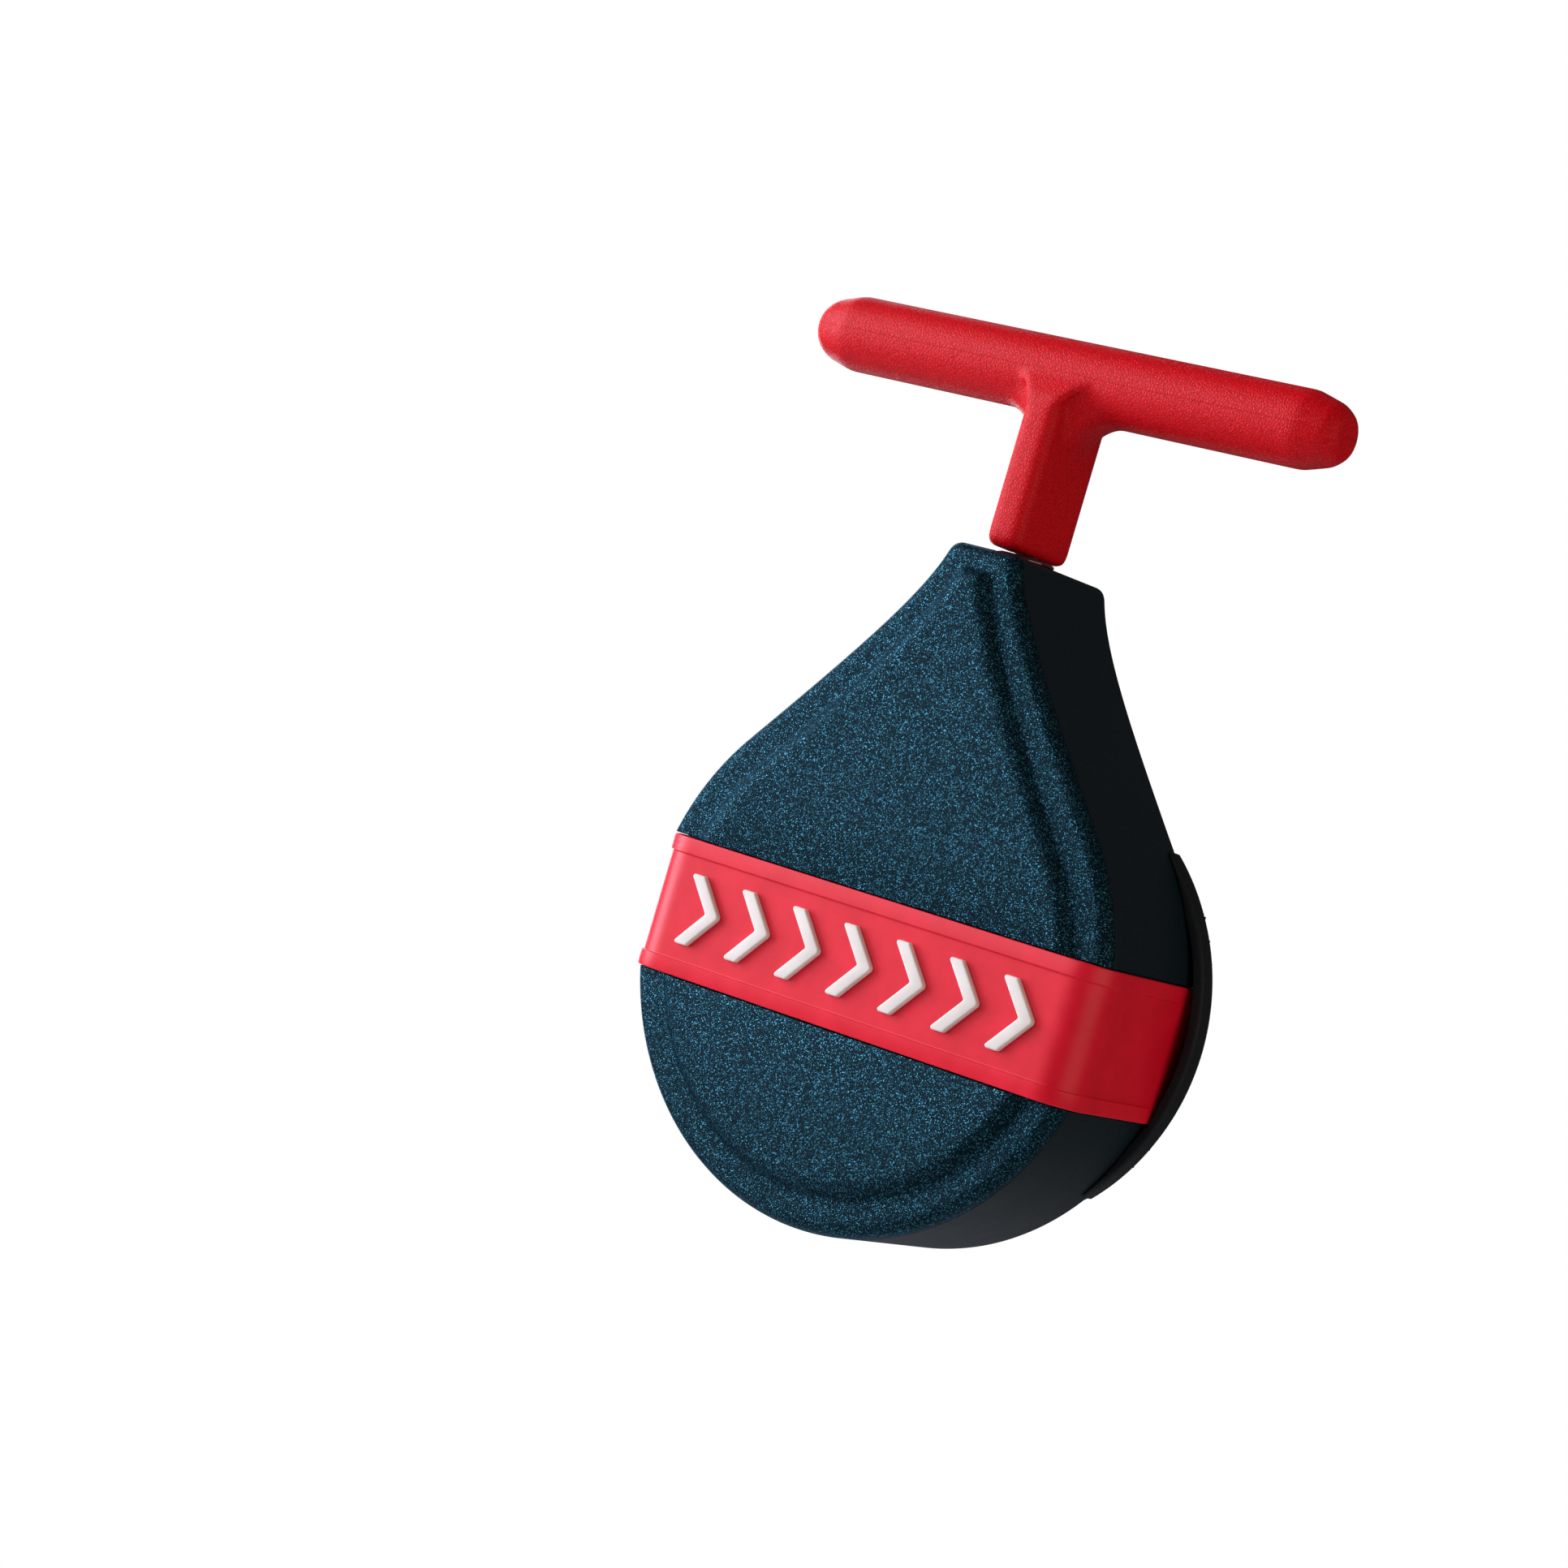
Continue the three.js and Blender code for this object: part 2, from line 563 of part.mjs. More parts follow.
// The flat stem, skinned over upright slices. It is deeper than the bar: inside GUSSET_Y its
// flares meet the bar's round underside, and outside it the slices slope down to its edges.
const GUSSET_Y = 6.2;
const GUSSET_SLOPE = 1.8;
const FLARE_FADE = [4.6, 8.6];

function stem() {
  const rings = [];
  const slices = 20;
  for (let i = 0; i <= slices; i += 1) {
    const y = -STEM_HALF_Y * Math.cos((Math.PI * i) / slices);
    const out = Math.abs(y);
    const over = Math.max(out - (STEM_HALF_Y - STEM_EDGE_R), 0);
    const drop = STEM_EDGE_R - Math.sqrt(Math.max(STEM_EDGE_R ** 2 - over ** 2, 0.25));
    const half = STEM_HALF_X - drop;
    const foot = STEM_BOTTOM + drop;
    const top = BAR_Z - Math.max(out - GUSSET_Y, 0) * GUSSET_SLOPE;
    const round = BAR_Z - Math.sqrt(Math.max(BAR_R ** 2 - y ** 2, 0));
    const under = Math.min(round, top - 1.9);
    const fade = THREE.MathUtils.smoothstep(out, FLARE_FADE[0], FLARE_FADE[1]);
    const flare = STEM_FILLET * (1 - 0.9 * fade);
    const right = [new THREE.Vector2(half - 1.2, foot), new THREE.Vector2(half, foot + 1.2)];
    for (let k = 0; k <= 6; k += 1) {
      const angle = (Math.PI / 2) * (k / 6);
      right.push(new THREE.Vector2(
        half + flare * (1 - Math.cos(angle)),
        under + 0.45 - flare * (1 - Math.sin(angle)),
      ));
    }
    right.push(new THREE.Vector2(half + flare, top));
    const left = right.slice().reverse().map((p) => new THREE.Vector2(-p.x, p.y));
    rings.push({ y, points: [...right, ...left] });
  }
  return skinY(rings);
}

const EYELET_TOP = STEM_BOTTOM - GAP;
const EYELET_BOTTOM = 60;

function outletEyelet() {
  return turnedZ([
    [2.6, EYELET_BOTTOM], [3.7, EYELET_BOTTOM], [3.7, NECK_TOP], [EYELET_R, NECK_TOP],
    [EYELET_R, NECK_TOP + 0.4], [EYELET_R - 0.4, EYELET_TOP], [2.9, EYELET_TOP],
    [2.1, EYELET_TOP - 0.9], [2.1, EYELET_BOTTOM + 1.2],
  ], 32);
}

const SPAN_LOW = 58.2;
const SPAN_HIGH = 71.5;

// The cord from the winding's edge to the foot of the outlet.
function cordLead() {
  const edge = WINDING_R + CORD_R + 0.4;
  const angle = Math.acos(edge / SPAN_LOW);
  const leave = new THREE.Vector3(edge * Math.sin(angle), 0, edge * Math.cos(angle));
  const top = new THREE.Vector3(0, 0, SPAN_LOW - GAP);
  const bend = new THREE.Vector3(0, 0, SPAN_LOW - 5);
  const into = bend.clone().lerp(leave, 0.15);
  const path = new THREE.CurvePath();
  path.add(new THREE.LineCurve3(leave, into));
  path.add(new THREE.QuadraticBezierCurve3(into, bend, top));
  const section = new THREE.Shape();
  section.absarc(0, 0, CORD_R, 0, 2 * Math.PI);
  return solid(new THREE.ExtrudeGeometry(section, { extrudePath: path, steps: 12, curveSegments: 4 }));
}

// ---- spool -------------------------------------------------------------------------------

function spool() {
  const flangeBack = DRUM_BACK + FLANGE_T;
  return turnedY([
    [6.4, DRUM_FRONT], [8, DRUM_FRONT], [8, -2], [HUB_R - 1.5, -2], [HUB_R - 1.5, DRUM_FRONT],
    [HUB_R, DRUM_FRONT], [HUB_R, DRUM_BACK], [FLANGE_R, DRUM_BACK], [FLANGE_R, flangeBack],
    [CUP_R, flangeBack], [CUP_R, CUP_BACK], [CUP_R - 1.5, CUP_BACK], [CUP_R - 1.5, flangeBack],
    [6.4, flangeBack],
  ], 48);
}

function mainspring() {
  const inside = 7.2;
  const outside = CUP_R - 2.6;
  const stepsPerTurn = 20;
  const count = SPRING_TURNS * stepsPerTurn;
  const edge = (offset) => Array.from({ length: count + 1 }, (_, i) => polar(
    inside + ((outside - inside) * i) / count + offset,
    (2 * Math.PI * i) / stepsPerTurn,
  ));
  return slabY([...edge(SPRING_T), ...edge(0).reverse()], 6.6, 13.4);
}

// ---- scene graph -------------------------------------------------------------------------

const group = new THREE.Group();
group.position.y = -FLOOR_Y;

function addPiece(name, shape, look) {
  const mesh = new THREE.Mesh(geometryOf(shape), look);
  mesh.name = name;
  group.add(mesh);
}

addPiece("front_cover", frontCover(), coverPaint);
addPiece("rear_housing", rearHousing(), housingPlastic);
CASE_SCREWS.forEach((place, i) => addPiece(`case_screw_${i + 1}`, caseScrew(place), steel));
addPiece("cradle", cradle(), cradleRubber);
[1, -1].forEach((side, i) => addPiece(`cradle_screw_${i + 1}`, cradleScrew(side), steel));
addPiece("strap", strap(), strapRubber);
addPiece("strap_pin", rodZ(PIN_R, STRAP_BOTTOM - 1.4, STRAP_TOP + 1.4, BEAD_X, BEAD_Y, 16), steel);
addPiece("strap_knob", join(knobSolid(1.5, -3, 3), knobSolid(3.8, 2.2, 3.6)), innerPlastic);
for (let i = 0; i < MARK_COUNT; i += 1) {
  addPiece(`strap_mark_${i + 1}`, strapMark(i), markRubber);
}
addPiece("outlet_eyelet", outletEyelet(), glossPlastic);
addPiece("handle_grip", handleGrip(), gripPlastic);
addPiece("stem_collar", turnedZ([
  [1.75, 71.2], [2.3, 71.2], [2.3, 75.2], [1.75, 75.2],
], 24), glossPlastic);
addPiece("cord_lead", cordLead(), cordFibre);
addPiece("cord_span", rodZ(CORD_R, SPAN_LOW, SPAN_HIGH, 0, 0, 12), cordFibre);
addPiece("cord_tail", rodZ(CORD_R, SPAN_HIGH + GAP, 83.6, 0, 0, 12), cordFibre);
addPiece("cord_ferrule", turnedZ([[1.7, 76.4], [2.3, 76.4], [2.3, 82.6], [1.7, 82.6]], 24), brass);
addPiece("cord_winding", turnedY([
  [HUB_R + GAP, DRUM_FRONT + 0.1], [WINDING_R, DRUM_FRONT + 0.1],
  [WINDING_R, DRUM_BACK - GAP], [HUB_R + GAP, DRUM_BACK - GAP],
], 40), cordFibre);
addPiece("spool", spool(), innerPlastic);
addPiece("spool_cheek", turnedY([
  [8.5, DRUM_FRONT - GAP - FLANGE_T], [FLANGE_R, DRUM_FRONT - GAP - FLANGE_T],
  [FLANGE_R, DRUM_FRONT - GAP], [8.5, DRUM_FRONT - GAP],
], 48), innerPlastic);
addPiece("spool_bushing", turnedY([[4.4, -9.4], [6.1, -9.4], [6.1, 5.5], [4.4, 5.5]], 24), brass);
addPiece("axle", rodY(AXLE_R, -10.2, BACK_Y - 1.2, 0, 0, 24), steel);
addPiece("spring_arbor", turnedY([[4.4, 6.2], [6.6, 6.2], [6.6, 13.8], [4.4, 13.8]], 24), steel);
addPiece("mainspring", mainspring(), springSteel);
addPiece("spring_cover", turnedY([
  [8.2, CUP_BACK + GAP], [CUP_R, CUP_BACK + GAP], [CUP_R, CUP_BACK + 1.3], [8.2, CUP_BACK + 1.3],
], 48), innerPlastic);

export default group;
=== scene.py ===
"""Looks of a retractable tow reel: drop-shaped case, T-handle, rubber strap and tube cradle.

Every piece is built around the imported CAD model, in its frame and in metres. Sizes written
in millimetres are turned into metres by MM. The spool axis crosses the plane of the cord at
the point that the case's own sizes are counted from, and Layout finds it from the frame.
"""

import json
import logging
import math
from dataclasses import dataclass, field
from enum import Enum
from typing import Iterable, Optional, Sequence, Union

import bmesh
import bpy
import numpy as np
from mathutils import Matrix, Vector


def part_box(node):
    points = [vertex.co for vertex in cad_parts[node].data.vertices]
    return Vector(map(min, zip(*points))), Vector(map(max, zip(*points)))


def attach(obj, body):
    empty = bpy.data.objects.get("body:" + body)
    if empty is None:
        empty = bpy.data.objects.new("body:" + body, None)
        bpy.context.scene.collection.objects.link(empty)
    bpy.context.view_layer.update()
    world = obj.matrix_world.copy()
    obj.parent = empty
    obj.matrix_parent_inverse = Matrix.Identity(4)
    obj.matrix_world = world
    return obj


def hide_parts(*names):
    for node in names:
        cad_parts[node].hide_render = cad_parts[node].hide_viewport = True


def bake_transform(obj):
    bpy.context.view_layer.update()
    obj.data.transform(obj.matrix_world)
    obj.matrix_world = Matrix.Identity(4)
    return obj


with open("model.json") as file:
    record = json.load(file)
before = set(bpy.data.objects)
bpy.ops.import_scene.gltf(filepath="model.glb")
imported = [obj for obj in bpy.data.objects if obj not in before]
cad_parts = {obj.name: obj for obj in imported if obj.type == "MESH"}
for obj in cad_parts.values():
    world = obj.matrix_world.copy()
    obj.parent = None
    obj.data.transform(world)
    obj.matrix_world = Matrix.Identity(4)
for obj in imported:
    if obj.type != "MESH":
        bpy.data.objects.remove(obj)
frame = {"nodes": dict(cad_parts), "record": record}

LOG = logging.getLogger("tow_reel")
MM = 0.001
AXIS_R = 0.001  # millimetres that a turned profile keeps off its axis
CASE_SCREWS = 6
CRADLE_SCREWS = 2

Pair = tuple[float, float]
Profile = Sequence[Pair]
Number = Union[int, float]
Piece = bpy.types.Object
Material = bpy.types.Material


# ---- shader expressions --------------------------------------------------------------------


@dataclass(frozen=True)
class Signal:
    """A shader value: a socket whose arithmetic adds Math nodes to its tree."""

    shader: "Shader"
    socket: bpy.types.NodeSocket

    def math(self, operation: str, *values: Union["Signal", Number]) -> "Signal":
        """Adds a Math node.

        Args:
            operation: the node's operation.
            values: the node's values, in order.

        Returns:
            The node's result.
        """
        return self.shader.node(
            "ShaderNodeMath", {"operation": operation}, dict(enumerate(values))
        )

    def __add__(self, other: Union["Signal", Number]) -> "Signal":
        """self + other."""
        return self.math("ADD", self, other)

    __radd__ = __add__

    def __sub__(self, other: Union["Signal", Number]) -> "Signal":
        """self - other."""
        return self.math("SUBTRACT", self, other)

    def __rsub__(self, other: Union["Signal", Number]) -> "Signal":
        """other - self."""
        return self.math("SUBTRACT", other, self)

    def __mul__(self, other: Union["Signal", Number]) -> "Signal":
        """self * other."""
        return self.math("MULTIPLY", self, other)

    __rmul__ = __mul__

    def __truediv__(self, other: Union["Signal", Number]) -> "Signal":
        """self / other."""
        return self.math("DIVIDE", self, other)

    def __pow__(self, other: Union["Signal", Number]) -> "Signal":
        """self to the power of other."""
        return self.math("POWER", self, other)

    def __abs__(self) -> "Signal":
        """The size of self."""
        return self.math("ABSOLUTE", self)

    def above(self, low: Number, high: Number) -> "Signal":
        """A mask that rises smoothly from 0 at low to 1 at high."""
        return self.shader.node(
            "ShaderNodeMapRange",
            {"interpolation_type": "SMOOTHSTEP", "clamp": True},
            {"Value": self, "From Min": low, "From Max": high},
        )


class Shader:
    """A material and the nodes that are added to it."""

    def __init__(self, name: str) -> None:
        """Makes the material with a Principled shader.

        Args:
            name: the material's name.
        """
        self.material = bpy.data.materials.new(name)
        self.material.use_nodes = True
        self.tree = self.material.node_tree
        self.principled = self.tree.nodes["Principled BSDF"]

    def node(
        self, kind: str, settings: dict, inputs: dict, output: Union[int, str] = 0
    ) -> Signal:
        """Adds one node.

        Args:
            kind: the node's type.
            settings: its properties, set first; "stops" is a ramp's (place, colour) list.
            inputs: the value of, or the link to, each named or numbered socket.
            output: the socket that is returned.

        Returns:
            The chosen output.
        """
        made = self.tree.nodes.new(kind)
        for key, value in settings.items():
            if key == "stops":
                self._set_stops(made.color_ramp, value)
            else:
                setattr(made, key, value)
        for key, value in inputs.items():
            if isinstance(value, Signal):
                self.tree.links.new(value.socket, made.inputs[key])
            else:
                made.inputs[key].default_value = value
        return Signal(self, made.outputs[output])

    @staticmethod
    def _set_stops(ramp: bpy.types.ColorRamp, stops: Sequence[tuple]) -> None:
        """Gives a colour ramp its stops."""
        while len(ramp.elements) < len(stops):
            ramp.elements.new(0.5)
        for element, (place, colour) in zip(ramp.elements, stops):
            element.position = place
            element.color = colour

    def place(self) -> Signal:
        """The point on the piece, in its own frame, in metres."""
        return self.node("ShaderNodeTexCoord", {}, {}, "Object")

    def axis(self, name: str) -> Signal:
        """One coordinate of the point on the piece, in millimetres."""
        parts = self.node("ShaderNodeSeparateXYZ", {}, {0: self.place()}, name)
        return parts * (1 / MM)

    def noise(self, grain: float, detail: float = 2.0, roughness: float = 0.5) -> Signal:
        """Noise whose features are about grain metres across."""
        return self.node(
            "ShaderNodeTexNoise",
            {},
            {"Vector": self.place(), "Scale": 1 / grain, "Detail": detail, "Roughness": roughness},
            "Fac",
        )

    def cells(self, grain: float, output: str = "Distance", feature: str = "F1") -> Signal:
        """Voronoi cells about grain metres across."""
        return self.node(
            "ShaderNodeTexVoronoi",
            {"feature": feature},
            {"Vector": self.place(), "Scale": 1 / grain},
            output,
        )

    def mix(
        self,
        mask: Union[Signal, Number],
        low: Union[Signal, tuple],
        high: Union[Signal, tuple],
    ) -> Signal:
        """A colour between low, where mask is 0, and high, where it is 1."""
        return self.node(
            "ShaderNodeMix", {"data_type": "RGBA"}, {0: mask, 6: low, 7: high}, 2
        )

    def bump(self, height: Signal, depth: float, below: Optional[Signal] = None) -> Signal:
        """A normal for a height from 0 to 1 that stands for depth metres."""
        inputs = {"Height": height, "Distance": depth, "Strength": 1.0}
        if below is not None:
            inputs["Normal"] = below
        return self.node("ShaderNodeBump", {}, inputs)

    def finish(self, **sockets: Union[Signal, Number, tuple]) -> Material:
        """Sets sockets of the Principled shader, their names' spaces as underscores.

        Args:
            sockets: values or links by socket name.

        Returns:
            The material.
        """
        for key, value in sockets.items():
            socket = self.principled.inputs[key.replace("_", " ")]
            if isinstance(value, Signal):
                self.tree.links.new(value.socket, socket)
            else:
                socket.default_value = value
        return self.material


Colour = tuple[float, float, float, float]


def rgb(red: float, green: float, blue: float) -> Colour:
    """An opaque linear colour."""
    return (red, green, blue, 1.0)


def dimmed(colour: Colour, share: float) -> Colour:
    """A colour with a share of its brightness."""
    return rgb(*(share * part for part in colour[:3]))


# ---- finishes ------------------------------------------------------------------------------


@dataclass(frozen=True)
class MicaPlastic:
    """Dark pearl plastic whose fine grain holds mica flakes, their glints partly painted into the
    colour as bright specks.
    """

    name: str = "mica_plastic"
    pit: Colour = rgb(0.001, 0.004, 0.006)
    ground: Colour = rgb(0.002, 0.009, 0.014)
    # the flakes' colour: real mica flakes, brightened further by painted glint
    flake_and_glint: Colour = rgb(0.055, 0.21, 0.30)
    sheen: Colour = rgb(0.30, 0.66, 0.88)
    grain: float = 0.24 * MM
    grain_depth: float = 0.12 * MM

    def build(self) -> Material:
        """Makes the material."""
        shader = Shader(self.name)
        fine = shader.noise(self.grain, 3.0, 0.62)
        cells = shader.cells(self.grain * 0.8)
        chance = shader.node(
            "ShaderNodeSeparateColor", {}, {0: shader.cells(self.grain * 0.6, "Color")}, 0
        )
        spark = chance.above(0.70, 0.95) * fine.above(0.42, 0.58)
        clouds = shader.noise(16 * MM, 2.0)
        ground = shader.mix(fine.above(0.36, 0.62), self.pit, self.ground)
        # painted glint: the bright flake colour partly stands in for the flakes' specular glints,
        # on top of their raised metallic
        colour = shader.mix(spark, ground, self.flake_and_glint)
        height = fine * 0.75 + cells * 0.45
        return shader.finish(
            Base_Color=colour,
            Metallic=0.35 + spark * 0.5,
            Roughness=0.36 - spark * 0.10 + clouds * 0.06,
            Specular_IOR_Level=0.07,
            Specular_Tint=self.sheen,
            Normal=shader.bump(height, self.grain_depth),
        )


@dataclass(frozen=True)
class GrainedPlastic:
    """Matt moulded plastic with a fine even grain."""

    name: str
    low: Colour
    high: Colour
    roughness: float = 0.52
    grain: float = 0.30 * MM
    grain_depth: float = 0.030 * MM
    gloss: float = 0.25

    def build(self) -> Material:
        """Makes the material."""
        shader = Shader(self.name)
        fine = shader.noise(self.grain, 3.0, 0.55)
        handled = shader.noise(9 * MM, 3.0)
        colour = shader.mix(fine.above(0.3, 0.7), self.low, self.high)
        return shader.finish(
            Base_Color=colour,
            Roughness=self.roughness + handled * 0.12 - 0.06,
            Specular_IOR_Level=self.gloss,
            Normal=shader.bump(fine, self.grain_depth),
        )


@dataclass(frozen=True)
class MouldedRubber:
    """Smooth moulded rubber: a faint mottle, tiny dust marks and a satin skin."""

    name: str
    low: Colour
    high: Colour
    roughness: float = 0.42
    mottle: float = 6 * MM
    skin: float = 0.22 * MM
    skin_depth: float = 0.006 * MM
    gloss: float = 0.35

    def build(self) -> Material:
        """Makes the material."""
        shader = Shader(self.name)
        cloud = shader.noise(self.mottle, 3.0, 0.6)
        skin = shader.noise(self.skin, 2.0)
        dust = shader.cells(1.7 * MM)
        speck = 1 - dust.above(0.05, 0.12)
        colour = shader.mix(cloud.above(0.3, 0.7), self.low, self.high)
        return shader.finish(
            Base_Color=colour,
            Roughness=self.roughness + cloud * 0.10 - 0.05 + speck * 0.10,
            Specular_IOR_Level=self.gloss,
            Normal=shader.bump(skin, self.skin_depth),
        )


@dataclass(frozen=True)
class SoftTouch:
    """Soft-touch grip plastic with a leather-like grain and a faint mould seam."""

    name: str = "soft_touch_red"
    deep: Colour = rgb(0.46, 0.001, 0.004)
    main: Colour = rgb(0.70, 0.003, 0.011)
    grain: float = 0.55 * MM
    grain_depth: float = 0.07 * MM
    seam_height: float = 100.7
    seam_reach: float = 0.22
    seam_depth: float = 0.05 * MM

    def build(self) -> Material:
        """Makes the material."""
        shader = Shader(self.name)
        drift = shader.noise(7 * MM, 3.0)
        creases = shader.cells(self.grain, "Distance", "DISTANCE_TO_EDGE")
        fine = shader.noise(self.grain * 0.5, 3.0, 0.6)
        leather = creases.above(0.0, 0.25) * 0.5 + fine * 0.8
        seam = 1 - abs(shader.axis("Z") - self.seam_height).above(0.0, self.seam_reach)
        colour = shader.mix(leather.above(0.45, 1.1), self.deep, self.main)
        grain = shader.bump(leather, self.grain_depth)
        return shader.finish(
            Base_Color=colour,
            Roughness=0.44 - leather * 0.08 + drift * 0.08,
            Specular_IOR_Level=0.12,
            Normal=shader.bump(seam, self.seam_depth, grain),
        )


@dataclass(frozen=True)
class GlossPlastic:
    """Polished dark plastic with faint turning marks."""

    name: str
    colour: Colour
    roughness: float = 0.12

    def build(self) -> Material:
        """Makes the material."""
        shader = Shader(self.name)
        smear = shader.noise(2.5 * MM, 3.0)
        return shader.finish(
            Base_Color=shader.mix(smear, self.colour, dimmed(self.colour, 0.7)),
            Roughness=self.roughness + smear * 0.10,
            Coat_Weight=0.4,
            Coat_Roughness=0.05,
            Normal=shader.bump(smear, 0.01 * MM),
        )


@dataclass(frozen=True)
class TurnedMetal:
    """Plated or turned metal with fine marks and a little staining."""

    name: str
    colour: Colour
    roughness: float = 0.30

    def build(self) -> Material:
        """Makes the material."""
        shader = Shader(self.name)
        marks = shader.noise(0.25 * MM, 4.0, 0.7)
        stain = shader.noise(4 * MM, 3.0)
        darker = dimmed(self.colour, 0.62)
        return shader.finish(
            Base_Color=shader.mix(stain.above(0.35, 0.75), self.colour, darker),
            Metallic=1.0,
            Roughness=self.roughness + marks * 0.16,
            Normal=shader.bump(marks, 0.008 * MM),
        )


@dataclass(frozen=True)
class BraidedCord:
    """A round braid: two sets of strands that cross on the bias, round the Z axis."""

    name: str
    centre: Pair
    strand: Colour = rgb(0.035, 0.038, 0.045)
    gap: Colour = rgb(0.004, 0.004, 0.005)
    strands: int = 8
    pitch: float = 9.0
    depth: float = 0.25 * MM

    def build(self) -> Material:
        """Makes the material."""
        shader = Shader(self.name)
        across = shader.axis("X") - self.centre[0] / MM
        along = shader.axis("Y") - self.centre[1] / MM
        angle = shader.node("ShaderNodeMath", {"operation": "ARCTAN2"}, {0: across, 1: along})
        rise = shader.axis("Z") * (2 * math.pi / self.pitch)
        right = self._wave(angle * (self.strands / 2) + rise * (self.strands / 2))
        left = self._wave(angle * (self.strands / 2) - rise * (self.strands / 2))
        braid = right.math("MAXIMUM", right, left)
        fibres = shader.noise(0.12 * MM, 3.0, 0.7)
        colour = shader.mix(braid.above(0.25, 0.8), self.gap, self.strand)
        return shader.finish(
            Base_Color=colour,
            Roughness=0.85 - fibres * 0.1,
            Sheen_Weight=0.3,
            Normal=shader.bump(braid + fibres * 0.3, self.depth),
        )

    @staticmethod
    def _wave(phase: Signal) -> Signal:
        """A ridge for each turn of the phase, from 0 to 1."""
        return phase.math("SINE", phase) * 0.5 + 0.5


# ---- mesh helpers --------------------------------------------------------------------------


class Axis(Enum):
    """The axis that a turned piece is turned about."""

    Y = "Y"
    Z = "Z"


def new_object(name: str, mesh: bpy.types.Mesh) -> Piece:
    """Links a new object for a mesh."""
    made = bpy.data.objects.new(name, mesh)
    bpy.context.scene.collection.objects.link(made)
    return made


def smooth(piece: Piece, angle: float = 32.0) -> Piece:
    """Shades a piece smooth.

    Args:
        piece: the piece that is changed.
        angle: how far faces have to turn at an edge that stays sharp, in degrees.

    Returns:
        The piece.
    """
    mesh = piece.data
    mesh.polygons.foreach_set("use_smooth", [True] * len(mesh.polygons))
    mesh.set_sharp_from_angle(angle=math.radians(angle))
    mesh.update()
    return piece


def mesh_from(name: str, points: Iterable, faces: Iterable) -> Piece:
    """Makes a closed piece, and turns its normals outwards.

    Args:
        name: the piece's name.
        points: its points, in metres.
        faces: the numbers of each face's points.

    Returns:
        The new object.
    """
    mesh = bpy.data.meshes.new(name)
    mesh.from_pydata([tuple(p) for p in points], [], [tuple(f) for f in faces])
    build = bmesh.new()
    build.from_mesh(mesh)
    bmesh.ops.remove_doubles(build, verts=build.verts, dist=1e-7)
    bmesh.ops.recalc_face_normals(build, faces=build.faces)
    caps = [f for f in build.faces if len(f.verts) > 4]
    bmesh.ops.triangulate(build, faces=caps, ngon_method="EAR_CLIP")
    build.to_mesh(mesh)
    build.free()
    return new_object(name, mesh)


def loft(name: str, rings: Sequence[np.ndarray], closed: bool = False) -> Piece:
    """Skins rings of equal length into a closed solid.

    Args:
        name: the piece's name.
        rings: each ring's points, in metres.
        closed: whether the last ring joins the first, instead of both being capped.

    Returns:
        The new object.
    """
    count = len(rings[0])
    points = np.vstack(rings)
    faces = []
    spans = len(rings) if closed else len(rings) - 1
    for i in range(spans):
        low = i * count
        high = ((i + 1) % len(rings)) * count
        for k in range(count):
            n = (k + 1) % count
            faces.append((low + k, low + n, high + n, high + k))
    if not closed:
        faces.append(tuple(range(count)))
        faces.append(tuple(range(len(points) - count, len(points))))
    return mesh_from(name, points, faces)


def turned(
    name: str,
    profile: Profile,
    axis: Axis,
    centre: Optional[Sequence[float]] = None,
    segments: int = 64,
) -> Piece:
    """Turns a closed profile about an axis.

    Args:
        name: the piece's name.
        profile: (radius, height) pairs in millimetres, a closed loop off the axis.
        axis: the axis it is turned about.
        centre: the point that heights are counted from, in metres; the layout's if None.
        segments: steps round the axis.

    Returns:
        The new object.
    """
    centre = LAYOUT.centre if centre is None else np.array(centre)
    rings = []
    for i in range(segments):
        angle = 2 * math.pi * i / segments
        c, s = math.cos(angle), math.sin(angle)
        if axis is Axis.Y:
            ring = [(r * c, h, r * s) for r, h in profile]
        else:
            ring = [(r * c, r * s, h) for r, h in profile]
        rings.append(np.array(ring) * MM + centre)
    return loft(name, rings, closed=True)


def rod(
    name: str,
    radius: float,
    low: float,
    high: float,
    axis: Axis,
    centre: Optional[Sequence[float]] = None,
    segments: int = 64,
) -> Piece:
    """A plain round solid.

    Args:
        name: the piece's name.
        radius: its radius, in millimetres.
        low: where it starts along the axis, in millimetres.
        high: where it ends.
        axis: the axis it runs along.
        centre: the point that low and high are counted from, in metres.
        segments: steps round the axis.

    Returns:
        The new object.
    """
    profile = [(AXIS_R, low), (radius, low), (radius, high), (AXIS_R, high)]
    return turned(name, profile, axis, centre, segments)


def circle(radius: float, count: int) -> list[Pair]:
    """Evenly spaced points on a circle."""
    turns = [2 * math.pi * k / count for k in range(count)]
    return [(radius * math.cos(turn), radius * math.sin(turn)) for turn in turns]


